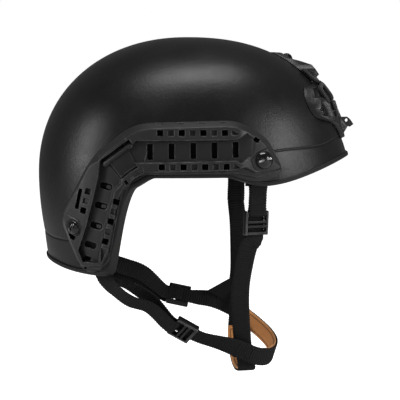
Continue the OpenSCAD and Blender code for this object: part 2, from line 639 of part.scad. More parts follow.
// Brackets: a plate on the screw inside the shell, with a bar that the webbing loops round
// distance of the front bar's middle ahead of its screw
front_bar_x = 4;
bar_r = 1.5;
loop_r = bar_r + gap + web_t;
bar_clear = 2.4;
bar_z = -(shell_t + trim_t + 2 * gap + loop_r + bar_clear);
bar_y = -19.5;
rear_frame = [-138, -155];
lug_w = 2;
lug_x = web_w / 2 + 1;
module bracket(screw) {
    plate_z = -(shell_t + bracket_gap + bracket_t);
    plate_low = bar_y + 5.5;
    translate([0, 0, plate_z]) linear_extrude(bracket_t) {
        translate([screw.x, screw.y]) circle(r = 6, $fn = 48);
        polygon([[screw.x - 6, screw.y], [screw.x + 6, screw.y], [lug_x + lug_w, plate_low + 5],
            [lug_x + lug_w, plate_low], [-lug_x - lug_w, plate_low], [-lug_x - lug_w, plate_low + 5]]);
    }
    for (x = [-lug_x - lug_w, lug_x])
        translate([x, bar_y - 2.4, bar_z - 2.4]) cube([lug_w, 9, plate_z - bar_z + 3.2]);
    translate([-lug_x - 0.5, bar_y, bar_z]) rotate([0, 90, 0])
        cylinder(r = bar_r, h = 2 * lug_x + 1, $fn = 48);
}
module bracket_hole() { translate([0, 0, -20]) cylinder(r = shank_r + 0.5, h = 30, $fn = 48); }
module front_bracket() {
    on_shell(front_screw[0], front_screw[1]) difference() {
        translate([front_bar_x, 0, 0]) bracket([-front_bar_x, 0]);
        bracket_hole();
    }
}
module rear_bracket() {
    difference() {
        on_shell(rear_frame[0], rear_frame[1])
            bracket(seen_from(rear_frame[0], rear_frame[1], dome(rear_screw[0], rear_screw[1])));
        on_shell(rear_screw[0], rear_screw[1]) bracket_hole();
    }
}
module right_front_bracket() { color("#303032") front_bracket(); }
module left_front_bracket() { color("#303032") left_of() front_bracket(); }
module right_rear_bracket() { color("#303032") rear_bracket(); }
module left_rear_bracket() { color("#303032") left_of() rear_bracket(); }

// Front straps: a doubled loop hangs from the bracket's bar
strap_lean = 10;
right_drop = 26;
left_drop = 20;
lock_loop_r = lock_bar_r + gap + web_t;
double_t = 2 * web_t + 0.2;
module on_front_bar() {
    on_shell(front_screw[0], front_screw[1]) translate([front_bar_x, bar_y, bar_z]) rotate([strap_lean, 0, 0])
        children();
}
function on_front_strap(p) =
    let (y = p.y * cos(strap_lean) - p.z * sin(strap_lean), z = p.y * sin(strap_lean) + p.z * cos(strap_lean))
    from_shell(front_screw[0], front_screw[1], [front_bar_x + p.x, bar_y + y, bar_z + z]);
module web_extrude() { rotate([90, 0, 90]) linear_extrude(web_w, center = true) children(); }
module right_front_loop() {
    color("#1c1c1d") on_front_bar() web_extrude() difference() {
        union() {
            circle(r = loop_r, $fn = 48);
            translate([-right_drop, 0]) circle(r = lock_loop_r, $fn = 48);
            translate([-right_drop, -double_t / 2]) square([right_drop, double_t]);
        }
        circle(r = bar_r + gap, $fn = 48);
        translate([-right_drop, 0]) circle(r = lock_bar_r + gap, $fn = 48);
    }
}
module left_front_loop() {
    color("#1c1c1d") left_of() on_front_bar() web_extrude() difference() {
        union() {
            circle(r = loop_r, $fn = 48);
            translate([-left_drop, -double_t / 2]) square([left_drop, double_t]);
        }
        circle(r = bar_r + gap, $fn = 48);
    }
}

// A ladder lock hangs from its top bar, at the origin, with its face to +Z
lock_side_x = web_w / 2 + 0.6;
module ladder_lock() {
    low = lock_bar_r - lock_size;
    for (x = [-lock_side_x - lug_w, lock_side_x]) translate([x, low, -1.6]) cube([lug_w, lock_size, 3.2]);
    for (y = [0, -8, -12, low + 1.6]) translate([-lock_side_x - 0.5, y, 0]) rotate([0, 90, 0])
        cylinder(r = lock_bar_r, h = 2 * lock_side_x + 1, $fn = 32);
}
strap_back = -(1.6 + gap + web_t / 2 + 0.2);
module right_front_lock() { color("#242425") on_front_bar() translate([0, -right_drop, 0]) ladder_lock(); }
front_way = axes_on(front_screw[0], front_screw[1])[0];
function mirrored(p) = [p.x, -p.y, p.z];
// One strap runs from the right lock inside the chin band, under the chin and up to the left loop.
front_route = concat(
    [for (y = [-6, -15, -22.5]) on_front_strap([0, y - right_drop, strap_back])],
    [[42, -80, -153], [38.5, -75, -170], [36.5, -66.5, -191], [37.5, -56.5, -214], [40, -46.7, -236],
    [41, -43.3, -243.5], [42.5, -42.3, -252], [44.2, -41.5, -261], [45.2, -38, -268], [44.5, -28, -270.8],
    [43.5, -14, -270], [42.8, 2, -265.5], [42.3, 16.5, -257], [43, 27.5, -246], [44.2, 33.8, -237],
    [45, 37.4, -229.5], [45.4, 41.3, -221], [45.6, 44.6, -212.5], [46.4, 52.2, -203.5], [49, 62.8, -189],
    [50, 73, -168], [50, 80, -146]],
    [mirrored(on_front_strap([0, -left_drop - 10, -0.3])), mirrored(on_front_strap([0, -left_drop - 1, 0]))]);
front_ways = concat([for (k = [0:2]) front_way],
    [[1, 0.15, -0.12], [1, 0.1, -0.08], [1, 0.1, 0], [1, 0.05, 0.04], [1, 0.1, 0.02],
    [1, 0.15, 0], [1, 0.2, 0], [1, 0.2, 0], [1, 0.1, 0.02], [1, 0, 0.02],
    [1, 0, 0], [1, 0, 0], [1, 0, 0], [1, -0.05, 0], [1, -0.15, 0],
    [1, -0.35, 0.1], [1, -0.44, 0.12], [1, -0.44, 0.12], [1, -0.3, 0.12], [1, -0.2, 0.1],
    [1, -0.1, 0.06], [1, -0.1, 0.02]],
    [for (k = [0:1]) mirrored(front_way)]);
module front_strap() { color("#1c1c1d") ribbon(front_route, front_ways, web_w, web_t); }

// Rear straps: two strands from the bracket's bar to a ladder lock, then one strap to the chin
function lock_axes(up, out) = let (w = unit(cross(up, out)), n = unit(cross(w, up))) [w, unit(up), n];
function at_lock(l, p) = l[0] + p * lock_axes(l[1], l[2]);
module in_frame(l) {
    b = lock_axes(l[1], l[2]);
    rows = [for (k = [0:2]) [b[0][k], b[1][k], b[2][k], l[0][k]]];
    multmatrix(concat(rows, [[0, 0, 0, 1]])) children();
}
// place of the top bar, the way up towards the anchor and the way out of the face
right_lock_at = [[-21.8, -62.5, -224.6], [-0.85, -0.1, 0.5], [-0.32, -0.77, -0.55]];
left_lock_at = [[-17.5, 62, -214], [-0.96, 0.1, 0.2], [-0.12, 0.68, -0.7]];
function at_rear_bar(p) = from_shell(rear_frame[0], rear_frame[1], [p.x, bar_y + p.y, bar_z + p.z]);
rear_way = axes_on(rear_frame[0], rear_frame[1])[0];
wrap_r = bar_r + gap + web_t / 2;
rear_wrap = concat(
    [at_rear_bar([0, -6, wrap_r])],
    [for (t = [0:45:180]) at_rear_bar([0, wrap_r * sin(t), wrap_r * cos(t)])],
    [at_rear_bar([0, -6, -wrap_r])]);
wraps = len(rear_wrap) - 1;
module right_rear_lock() { color("#242425") in_frame(right_lock_at) ladder_lock(); }
module left_rear_lock() { color("#242425") in_frame(left_lock_at) ladder_lock(); }
function lock_way(l) = lock_axes(l[1], l[2])[0];
front_of_bar = lock_bar_r + gap + web_t / 2;
right_rear_loop_route = concat(
    [at_lock(right_lock_at, [0, 0, front_of_bar]), at_lock(right_lock_at, [0, 6, 1.6])],
    [[-43, -69.3, -207.3], [-60, -73.5, -200.6], [-73.8, -74, -190]], [for (k = [0:wraps]) rear_wrap[k]],
    [[-73.5, -66, -182.5], [-60.5, -68, -188.2], [-43, -64.8, -200]],
    [at_lock(right_lock_at, [0, 6, -2.6]), at_lock(right_lock_at, [0, -4, strap_back])]);
right_rear_loop_ways = concat([lock_way(right_lock_at), lock_way(right_lock_at)],
    [[0.38, -0.68, 0.6], [0.4, -0.66, 0.58], [0.58, -0.7, 0.35]], [for (k = [0:wraps]) rear_way],
    [[0.6, -0.75, 0.25], [0.35, -0.8, 0.45], [0.4, -0.65, 0.65]],
    [lock_way(right_lock_at), lock_way(right_lock_at)]);
module right_rear_loop() {
    color("#1c1c1d") ribbon(right_rear_loop_route, right_rear_loop_ways, web_w, web_t);
}
left_rear_loop_route = concat(
    [at_lock(left_lock_at, [0, 0, front_of_bar]), at_lock(left_lock_at, [0, 6, 1.8])],
    [[-40, 70.5, -201.5], [-58, 75, -194.5], [-75, 75.5, -187.5]], [for (k = [0:wraps]) mirrored(rear_wrap[k])],
    [[-76, 68.5, -182], [-60, 68.5, -187.8], [-42, 64.5, -194.5]],
    [at_lock(left_lock_at, [0, 6, -3.6]), at_lock(left_lock_at, [0, -4, strap_back])]);
left_rear_loop_ways = concat([-lock_way(left_lock_at), -lock_way(left_lock_at)],
    [[0.3, 0.45, 0.82], [0.4, 0.4, 0.8], [0.65, 0.55, 0.45]], [for (k = [0:wraps]) mirrored(rear_way)],
    [[0.72, 0.55, 0.35], [0.45, 0.35, 0.8], [0.3, 0.45, 0.82]], [-lock_way(left_lock_at), -lock_way(left_lock_at)]);
module left_rear_loop() {
    color("#1c1c1d") ribbon(left_rear_loop_route, left_rear_loop_ways, web_w, web_t);
}

// Chin band: one strap from the right rear lock round the chin to the left rear lock, lined with leather
lock_ys = [-7, -14, -21];
chin_route = concat([for (y = lock_ys) at_lock(right_lock_at, [0, y, strap_back])],
    [[5, -56.4, -237], [18, -53.6, -241], [30, -50.6, -245.2], [41, -47.6, -250.3], [54, -42, -256],
    [65, -32, -258.5], [72.5, -17, -257.5], [75, 0, -254], [72, 17, -248.5], [63, 31, -240.5],
    [51.5, 41.5, -232], [41, 48.7, -225.5], [31, 51.8, -220.8], [21, 54.3, -218], [10, 57.5, -217]],
    [for (k = [2:-1:0]) at_lock(left_lock_at, [0, lock_ys[k], strap_back])]);
chin_ways = concat([for (y = lock_ys) lock_way(right_lock_at)],
    [[0.27, -0.64, 0.7], [0.18, -0.54, 0.8], [0.1, -0.32, 0.93], [0.05, -0.06, 1], [0.1, 0, 1],
    [0.2, -0.05, 1], [0.3, -0.05, 1], [0.35, 0, 1], [0.25, 0.05, 1], [0.15, 0.05, 1],
    [0.05, 0.05, 1], [0, 0.1, 1], [0, 0.25, 1], [0.05, 0.45, 0.9], [0.1, 0.6, 0.8]],
    [for (y = lock_ys) -lock_way(left_lock_at)]);
module chin_band() { color("#1c1c1d") ribbon(chin_route, chin_ways, web_w, web_t); }
lining_in = (web_t + leather_t) / 2 + gap;
function inward(centres, ways, d) = [for (i = [0:len(centres) - 1])
    centres[i] - d * unit(cross(tangent(centres, i), ways[i]))];
function part(p, first, last) = [for (k = [first:last]) p[k]];
// the linings cover these stretches of the finer routes
chin_lined = [15, 26];
under_lined = [22, 33];
module lining(centres, ways, lined) {
    line = part(inward(finer(centres), finer(ways), lining_in), lined[0], lined[1]);
    color("#9a6a40") ribbon(line, part(finer(ways), lined[0], lined[1]), web_w - 0.6, leather_t, false);
}
module chin_lining() { lining(chin_route, chin_ways, chin_lined); }
module under_chin_lining() { lining(front_route, front_ways, under_lined); }

shell();
edge_trim();
right_rail();
left_rail();
rail_front_screws();
rail_rear_screws();
rail_front_nuts();
rail_rear_nuts();
mount_plate();
socket_insert();
plate_screws();
plate_nuts();
lanyard_bracket();
right_bungee();
left_bungee();
right_bungee_hook();
left_bungee_hook();
crown_pad();
front_pad();
rear_pad();
right_front_pad();
left_front_pad();
right_rear_pad();
left_rear_pad();
right_fit_band();
left_fit_band();
nape_cradle();
nape_pad();
dial_housing();
fit_dial();
right_front_bracket();
left_front_bracket();
right_rear_bracket();
left_rear_bracket();
right_front_loop();
left_front_loop();
right_front_lock();
front_strap();
right_rear_loop();
left_rear_loop();
right_rear_lock();
left_rear_lock();
chin_band();
chin_lining();
under_chin_lining();
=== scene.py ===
"""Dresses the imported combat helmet: shell, rails, mount plate, pads, fit band and chin harness.

Sizes are millimetres in the frame's axes: +X the front, +Y the wearer's left, +Z up, the origin where the
crown of the head rests. Each surface is worked out with numpy on a grid, then made a mesh in metres.
"""
import math

import bpy
import numpy as np
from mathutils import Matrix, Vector


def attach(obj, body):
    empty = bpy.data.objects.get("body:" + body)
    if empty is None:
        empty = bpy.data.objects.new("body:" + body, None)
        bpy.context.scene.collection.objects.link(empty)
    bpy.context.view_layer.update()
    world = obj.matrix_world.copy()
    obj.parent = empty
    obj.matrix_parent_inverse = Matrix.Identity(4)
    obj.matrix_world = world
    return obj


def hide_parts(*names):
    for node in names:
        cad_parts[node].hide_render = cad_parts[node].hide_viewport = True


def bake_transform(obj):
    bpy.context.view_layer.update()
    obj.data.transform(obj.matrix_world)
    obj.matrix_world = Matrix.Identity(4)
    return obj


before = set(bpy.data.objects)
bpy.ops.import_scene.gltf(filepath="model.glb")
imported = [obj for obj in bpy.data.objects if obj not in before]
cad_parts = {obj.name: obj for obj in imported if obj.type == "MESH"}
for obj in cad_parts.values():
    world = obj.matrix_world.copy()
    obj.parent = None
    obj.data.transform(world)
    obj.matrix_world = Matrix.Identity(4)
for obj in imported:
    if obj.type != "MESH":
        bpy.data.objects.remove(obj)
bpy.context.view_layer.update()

MM = 0.001

# Driving sizes of the solids
FRONT_LEN, REAR_LEN, HALF_W, CROWN_H = 142.0, 134.0, 109.0, 121.0
SHELL_T, TRIM_T, TRIM_BAND, GAP, TRIM_GAP = 8.0, 1.2, 5.5, 0.3, 0.4
CROWN_PAD_T, PAD_T = 20.0, 16.0
MID_X = -5.0
CROWN_Z = SHELL_T + CROWN_PAD_T
BELT_Z = CROWN_Z - CROWN_H
BROW_Z, TEMPLE_Z, EAR_Z, NAPE_Z, BACK_Z = -77.0, -98.0, -90.0, -176.0, -168.0
BROW_FLARE, NAPE_FLARE = 3.0, 2.5
FRONT_N, REAR_N, RISE_N, RISE_SHIFT = 2.05, 2.3, 2.2, 0.07
TUCK, TUCK_DEPTH = 0.048, 59.0
CREASE_RISE = (17.0, 27.0, 23.0)
RAIL_LOW = TRIM_GAP + TRIM_T + 2 * GAP
FRONT_SCREW, REAR_SCREW = (-61.5, -77.0), (-142.0, -134.0)
PLATE_TOP_SCREW = (0.0, 7.0)
PLATE_SIDE_AT = (-56.0, -38.0)
WEB_W, WEB_T, LEATHER_T = 16.5, 1.6, 1.8
LOCK_SIZE, LOCK_BAR_R = 21.0, 1.4


# Small tools for numbers

def ramp(start, end, value):
    """0 before start, 1 after end and a smooth cubic step between."""
    share = np.clip((value - start) / (end - start), 0, 1)
    return share * share * (3 - 2 * share)


def hump(value, centre, width):
    """A bell of height 1 at the centre, falling off over the width."""
    return np.exp(-(((value - centre) / width) ** 2))


def unit(vectors):
    """Vectors along the last axis, brought to length 1."""
    return vectors / np.maximum(np.linalg.norm(vectors, axis=-1, keepdims=True), 1e-12)


def degrees(function):
    """A function of degrees, made from one of radians."""
    return lambda value: function(np.radians(value))


cosd, sind = degrees(np.cos), degrees(np.sin)


def lengths_along(line):
    """Distance along a line of points, from its start to each of them."""
    return np.concatenate([[0], np.cumsum(np.linalg.norm(np.diff(line, axis=0), axis=1))])


def through(points, count, closed=False):
    """A smooth curve through the points (Catmull-Rom), resampled at equal steps of its length."""
    points = np.asarray(points, float)
    if closed:
        padded = np.concatenate([points[-1:], points, points[:2]])
    else:
        padded = np.concatenate([2 * points[:1] - points[1:2], points, 2 * points[-1:] - points[-2:-1]])
    t = np.linspace(0, 1, 24, endpoint=False)[:, None]
    stretches = []
    for k in range(len(padded) - 3):
        a, b, c, d = padded[k:k + 4]
        stretches.append(0.5 * (2 * b + (c - a) * t + (2 * a - 5 * b + 4 * c - d) * t * t
                                + (3 * b - a - 3 * c + d) * t ** 3))
    fine = np.concatenate(stretches + [padded[-2:-1]])
    along = lengths_along(fine[:, :3])
    at = np.linspace(0, along[-1], count)
    return np.stack([np.interp(at, along, fine[:, k]) for k in range(fine.shape[1])], -1)


# Shape of the shell: a place is an azimuth (0 in front, 90 on the left), a height and a distance outward

def plan_radius(azimuth, off=0.0):
    """Radius of the superellipse seen from above, its front and back halves of different roundness."""
    c, s = cosd(azimuth), sind(azimuth)
    n = np.where(c > 0, FRONT_N, REAR_N)
    reach = np.where(c > 0, FRONT_LEN, REAR_LEN) + off
    return ((np.abs(c) / reach) ** n + (np.abs(s) / (HALF_W + off)) ** n) ** (-1 / n)


def swell(azimuth, z, off=0.0):
    """Share of the plan radius at a height: a superellipse above the belt, a slight tuck below it."""
    n = RISE_N + RISE_SHIFT * cosd(azimuth)
    rise = np.clip((z - BELT_Z) / (CROWN_H + off), 0, 1)
    above = np.maximum(0, 1 - rise ** n) ** (1 / n)
    below = 1 - TUCK * ((BELT_Z - z) / TUCK_DEPTH) ** 2
    return np.where(z > BELT_Z, above, below)


def dome(azimuth, z, off=0.0):
    """The place on the shell at an azimuth and height, off outward."""
    azimuth, z, off = np.broadcast_arrays(*(np.asarray(v, float) for v in (azimuth, z, off)))
    r = plan_radius(azimuth, off) * swell(azimuth, z, off)
    return np.stack([MID_X + r * cosd(azimuth), r * sind(azimuth), z], -1)


def outward(azimuth, z):
    """Unit normal of the dome."""
    along = dome(azimuth + 1, z) - dome(azimuth - 1, z)
    up = dome(azimuth, z + 1) - dome(azimuth, z - 1)
    return unit(np.cross(along, up))


def axes_on(azimuth, z):
    """Forward along the shell, up along it and out of it, as the rows of a matrix."""
    out = outward(azimuth, z)
    side = unit(np.array([-out[1], out[0], 0.0]))
    return np.stack([side, np.cross(out, side), out])


# smooth steps round the shell: the azimuths where each starts and ends, and its change of height
RIM_STEPS = [(10, 62, TEMPLE_Z - BROW_Z), (59, 78, EAR_Z - TEMPLE_Z), (108, 121, 0.12 * (NAPE_Z - EAR_Z)),
             (117.5, 133.5, 0.88 * (NAPE_Z - EAR_Z)), (135, 175, BACK_Z - NAPE_Z)]
CREASE_STEPS = [(25, 55, CREASE_RISE[1] - CREASE_RISE[0]), (140, 165, CREASE_RISE[2] - CREASE_RISE[1])]


def stepped(azimuth, first, steps):
    """A first height in front, changed by smooth steps towards the back, the same on both sides."""
    return first + sum(change * ramp(start, end, np.abs(azimuth)) for start, end, change in steps)


def rim(azimuth):
    """Height of the rim: the brow's, stepped to the temple, the ear, the nape and the back."""
    return stepped(azimuth, BROW_Z, RIM_STEPS)


def crease(azimuth):
    """Height of the crease: the rim's, plus a rise that is stepped too."""
    return rim(azimuth) + stepped(azimuth, CREASE_RISE[0], CREASE_STEPS)


def flare(azimuth):
    """How far the rim stands out of the dome: most at the brow, some at the nape and none at the ears."""
    s = np.abs(azimuth)
    return (BROW_FLARE * (1 - 0.45 * ramp(15, 45, s)) * (1 - ramp(50, 64, s))
            + NAPE_FLARE * ramp(135, 155, s))


def band_off(azimuth, z):
    """How far the lower band stands out of the dome, growing evenly from the crease to the rim."""
    return flare(azimuth) * np.clip((crease(azimuth) - z) / (crease(azimuth) - rim(azimuth)), 0, 1)


def along_rim(azimuth, height):
    """Height that a band measured square to the rim takes where the rim slopes."""
    span = np.linalg.norm(dome(azimuth + 0.5, BELT_Z) - dome(azimuth - 0.5, BELT_Z), axis=-1)
    slope = (rim(azimuth + 0.5) - rim(azimuth - 0.5)) / span
    return height * np.sqrt(1 + slope ** 2)


def halving(test, low, high, shape, steps=26):
    """Finds where test(value) turns from true to false, by halving the range for a whole array."""
    low, high = np.full(shape, float(low)), np.full(shape, float(high))
    for _ in range(steps):
        middle = (low + high) / 2
        keep = test(middle)
        low, high = np.where(keep, middle, low), np.where(keep, high, middle)
    return (low + high) / 2


def on_right_side(x, z, h):
    """The place on the right rail's surface over x and z in side view, h above the rail's underside."""
    x, z, h = np.broadcast_arrays(x, z, h)

    def off(a):
        return band_off(a, z) + RAIL_LOW + h
    a = halving(lambda a: dome(a, z, off(a))[..., 0] > x, 20, 165, x.shape)
    return dome(-a, z, off(a))


def in_front(y, z, off):
    """The place on the brow over y and z in front view, off outward of the dome."""
    y, z, off = np.broadcast_arrays(*(np.asarray(v, float) for v in (y, z, off)))
    a = halving(lambda a: dome(a, z, off)[..., 1] < y, -80, 80, y.shape)
    return dome(a, z, off)


PLATE_SIDE_SCREW = (float(halving(lambda a: dome(a, PLATE_SIDE_AT[1])[..., 1] < PLATE_SIDE_AT[0],
                                  -80, 80, ())), PLATE_SIDE_AT[1])


# Distances in a flat view, negative inside

def line_distance(x, z, points):
    """Distance to an open line through the points: the least of those to its straight stretches."""
    best = np.full(x.shape, 1e9)
    for (ax, az), (bx, bz) in zip(points[:-1], points[1:]):
        ex, ez = bx - ax, bz - az
        share = np.clip(((x - ax) * ex + (z - az) * ez) / (ex * ex + ez * ez), 0, 1)
        best = np.minimum(best, np.hypot(x - ax - share * ex, z - az - share * ez))
    return best


def polygon_distance(x, z, corners):
    """Signed distance to a polygon: negative where a ray crosses an odd number of its edges."""
    ring = np.asarray([*corners, corners[0]], float)
    inside = np.zeros(x.shape, bool)
    for (ax, az), (bx, bz) in zip(ring[:-1], ring[1:]):
        if bz != az:
            crosses = (az > z) != (bz > z)
            inside ^= crosses & (x < ax + (z - az) * (bx - ax) / (bz - az))
    best = line_distance(x, z, ring)
    return np.where(inside, -best, best)


def box_distance(x, z, centre, width, height, turned=0.0, corner=0.0):
    """Signed distance to a turned rectangle with rounded corners."""
    c, s = cosd(turned), sind(turned)
    dx, dz = x - centre[0], z - centre[1]
    px = np.abs(dx * c + dz * s) - width / 2 + corner
    pz = np.abs(dz * c - dx * s) - height / 2 + corner
    return np.hypot(np.maximum(px, 0), np.maximum(pz, 0)) + np.minimum(np.maximum(px, pz), 0) - corner


# Meshes

def grid_faces(rows, cols, wrap_rows=False, wrap_cols=False):
    """Quads between neighbours of a rows by cols grid, stored row by row."""
    r, c = np.meshgrid(np.arange(rows if wrap_rows else rows - 1),
                       np.arange(cols if wrap_cols else cols - 1), indexing="ij")
    r, c = r.ravel(), c.ravel()
    r2, c2 = (r + 1) % rows, (c + 1) % cols
    return np.stack([r * cols + c, r * cols + c2, r2 * cols + c2, r2 * cols + c], -1)


def fan_faces(ring, centre):
    """Triangles from a closed ring of point numbers to one centre point."""
    ring = np.asarray(ring)
    return np.stack([ring, np.full(len(ring), centre), np.roll(ring, -1)], -1)


def capped_tube(rings, ends=None):
    """A tube through rings of points (rings x around x 3), closed with a fan to a point at each end.

    The two points are the middles of the first and last rings, unless ends gives others.
    """
    rows, cols = rings.shape[:2]
    if ends is None:
        ends = (rings[0].mean(0), rings[-1].mean(0))
    points = np.concatenate([rings.reshape(-1, 3), ends])
    last = np.arange(cols) + (rows - 1) * cols
    faces = [grid_faces(rows, cols, wrap_cols=True), fan_faces(np.arange(cols), rows * cols),
             fan_faces(last[::-1], rows * cols + 1)]
    return outside_out(points, faces)


def endless_tube(rings):
    """A tube through rings of points whose last ring joins its first."""
    return outside_out(rings.reshape(-1, 3), [grid_faces(*rings.shape[:2], wrap_rows=True, wrap_cols=True)])


def joined(*solids):
    """Several (points, faces) solids as one, each face list keeping its own point numbers."""
    points, faces, start = [], [], 0
    for p, f in solids:
        points.append(p)
        faces += [part + start for part in f]
        start += len(p)
    return np.concatenate(points), faces


def volume(points, faces):
    """Signed volume: the sum over all triangles of the corner products divided by six."""
    total = 0.0
    for f in faces:
        for k in range(1, f.shape[1] - 1):
            a, b, c = points[f[:, 0]], points[f[:, k]], points[f[:, k + 1]]
            total += np.einsum("ij,ij->i", a, np.cross(b, c)).sum() / 6
    return total


def outside_out(points, faces):
    """The solid with its faces turned, if need be, so that they point outwards."""
    if volume(points, faces) < 0:
        faces = [f[:, ::-1] for f in faces]
    return points, faces


def mirrored(points, faces):
    """The solid mirrored to the other side of the helmet."""
    return points * (1, -1, 1), [f[:, ::-1] for f in faces]


def put_in_scene(name, data):
    """An object of the data, linked to the scene."""
    made = bpy.data.objects.new(name, data)
    bpy.context.scene.collection.objects.link(made)
    return made


def make_piece(name, solid, slot, body, sharp=40, marks=None):
    """Makes a mesh of a solid in millimetres with a slot's finish, on a body unless none is given.

    Edges sharper than the angle sharp stay hard; None makes every edge soft. marks holds point attributes
    that the finish reads: a name, then one number for each point.
    """
    points, faces = solid
    mesh = bpy.data.meshes.new(name)
    mesh.vertices.add(len(points))
    mesh.vertices.foreach_set("co", (np.asarray(points) * MM).astype(np.float32).ravel())
    corners = np.concatenate([f.ravel() for f in faces]).astype(np.int32)
    sizes = np.concatenate([np.full(len(f), f.shape[1]) for f in faces])
    starts = np.concatenate([[0], np.cumsum(sizes)[:-1]]).astype(np.int32)
    mesh.loops.add(len(corners))
    mesh.loops.foreach_set("vertex_index", corners)
    mesh.polygons.add(len(sizes))
    mesh.polygons.foreach_set("loop_start", starts)
    mesh.update(calc_edges=True)
    mesh.validate()
    mesh.polygons.foreach_set("use_smooth", np.ones(len(mesh.polygons), bool))
    if sharp:
        mesh.set_sharp_from_angle(angle=math.radians(sharp))
    for mark, values in (marks or {}).items():
        layer = mesh.attributes.new(mark, "FLOAT", "POINT")
        layer.data.foreach_set("value", np.asarray(values, np.float32).ravel())
    piece = put_in_scene(name, mesh)
    mesh.materials.append(FINISHES[slot])
    if body:
        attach(piece, body)
    return piece


def dress(node, solid, slot, body="helmet", sharp=40, marks=None):
    """Makes the piece that stands for a node, named after it."""
    piece = make_piece(node + "_dressed", solid, slot, body, sharp, marks)
    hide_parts(node)
    return piece


def dress_pair(node, solid, slot, body="helmet", sharp=40, marks=None):
    """Dresses the right side's node with the solid, and the left side's with its mirror image."""
    return [dress(f"{side}_{node}", made, slot, body, sharp, marks)
            for side, made in (("right", solid), ("left", mirrored(*solid)))]


# Finishes: node groups for the effects that several materials share

def add_node(tree, kind, inputs=None, **settings):
    """A node with its settings, and its inputs joined to sockets or set to values."""
    made = tree.nodes.new(kind)
    for key, value in settings.items():
        setattr(made, key, value)
    for key, value in (inputs or {}).items():
        if isinstance(value, bpy.types.NodeSocket):
            tree.links.new(value, made.inputs[key])
        else:
            made.inputs[key].default_value = value
    return made


def new_group(name, inputs, outputs):
    """An empty node group with named inputs (name, default) and outputs (name, socket type)."""
    tree = bpy.data.node_groups.new(name, "ShaderNodeTree")
    for label, value in inputs:
        kind = "NodeSocketVector" if value is None else "NodeSocketFloat"
        socket = tree.interface.new_socket(label, in_out="INPUT", socket_type=kind)
        if value is not None:
            socket.default_value = value
    for label, kind in outputs:
        tree.interface.new_socket(label, in_out="OUTPUT", socket_type=kind)
    return tree, tree.nodes.new("NodeGroupInput").outputs, tree.nodes.new("NodeGroupOutput").inputs


def worked_out(tree, operation, *values, **settings):
    """The result of a sum on values and sockets."""
    made = add_node(tree, "ShaderNodeMath", dict(enumerate(values)), operation=operation, **settings)
    return made.outputs[0]


def spread(tree, value, low=0.0, high=1.0, start=0.0, end=1.0):
    """A value that lies between start and end, spread over low to high."""
    made = add_node(tree, "ShaderNodeMapRange", {"Value": value, 1: start, 2: end, 3: low, 4: high})
    return made.outputs[0]


def noise(tree, vector, scale, detail, roughness, distortion=0.0):
    """A noise pattern, from 0 to 1."""
    return add_node(tree, "ShaderNodeTexNoise", {"Vector": vector, "Scale": scale, "Detail": detail,
                                                 "Roughness": roughness,
                                                 "Distortion": distortion}).outputs["Fac"]


# marks in one metre of the fine and of the wide grain
FINE_GRAIN, WIDE_GRAIN = 1000.0, 420.0


def moulded_grain():
    """Fine pebbled grain of paint or moulded plastic: a height, and a speckle mask for its colour."""
    tree, given, result = new_group("moulded_grain", [("Vector", None), ("Size", 1.0), ("Coarseness", 0.5)],
                                    [("Height", "NodeSocketFloat"), ("Speckle", "NodeSocketFloat")])
    scale = worked_out(tree, "DIVIDE", 1.0, given["Size"])
    fine = noise(tree, given["Vector"], worked_out(tree, "MULTIPLY", scale, FINE_GRAIN), 3.0, 0.6)
    wide = noise(tree, given["Vector"], worked_out(tree, "MULTIPLY", scale, WIDE_GRAIN), 2.0, 0.5)
    height = add_node(tree, "ShaderNodeMix", {"Factor": given["Coarseness"], 2: fine, 3: wide}).outputs[0]
    tree.links.new(height, result["Height"])
    tree.links.new(spread(tree, fine, start=0.42, end=0.66), result["Speckle"])
    return tree


def worn_and_highlit_edges():
    """Where an edge is paler, from rubbed wear and painted highlight: the piece's edge mark broken up by
    noise.
    """
    tree, given, result = new_group("worn_and_highlit_edges", [("Vector", None), ("Edge", 0.0), ("Amount", 0.5)],
                                    [("Mask", "NodeSocketFloat")])
    broken = spread(tree, noise(tree, given["Vector"], 160.0, 5.0, 0.65), start=0.35, end=0.7)
    mask = worked_out(tree, "MULTIPLY", given["Edge"], broken)
    tree.links.new(worked_out(tree, "MULTIPLY", mask, given["Amount"], use_clamp=True), result["Mask"])
    return tree


def handled_dust():
    """Faint uneven handling marks and dust: a slow cloud with finer smears in it."""
    tree, given, result = new_group("handled_dust", [("Vector", None), ("Scale", 18.0)],
                                    [("Mask", "NodeSocketFloat")])
    cloud = noise(tree, given["Vector"], given["Scale"], 6.0, 0.62, 0.4)
    tree.links.new(spread(tree, cloud, start=0.38, end=0.72), result["Mask"])
    return tree


def woven_threads():
    """Threads that cross over and under: the product of two waves, one along the cloth and one across."""
    tree, given, result = new_group("woven_threads", [("Along", 0.0), ("Across", 0.0), ("Pitch", 1.0)],
                                    [("Height", "NodeSocketFloat")])
    turns = worked_out(tree, "DIVIDE", 2 * math.pi, given["Pitch"])
    waves = [worked_out(tree, "SINE", worked_out(tree, "MULTIPLY", given[label], turns))
             for label in ("Along", "Across")]
    crossed = worked_out(tree, "MULTIPLY", *waves)
    tree.links.new(spread(tree, crossed, start=-1.0), result["Height"])
    return tree


GRAIN, WEAR_AND_HIGHLIGHT, DUST, THREADS = moulded_grain(), worn_and_highlit_edges(), handled_dust(), woven_threads()


def start_material(name, roughness, specular=0.5, metallic=0.0):
    """A material with its Principled shader, and the object's coordinates."""
    material = bpy.data.materials.new(name)
    material.use_nodes = True
    tree = material.node_tree
    shader = tree.nodes["Principled BSDF"]
    shader.inputs["Roughness"].default_value = roughness
    shader.inputs["Specular IOR Level"].default_value = specular
    shader.inputs["Metallic"].default_value = metallic
    place = add_node(tree, "ShaderNodeTexCoord").outputs["Object"]
    return material, tree, shader, place


def use_group(tree, group, inputs):
    """Places a node group and joins its inputs."""
    return add_node(tree, "ShaderNodeGroup", inputs, node_tree=group).outputs


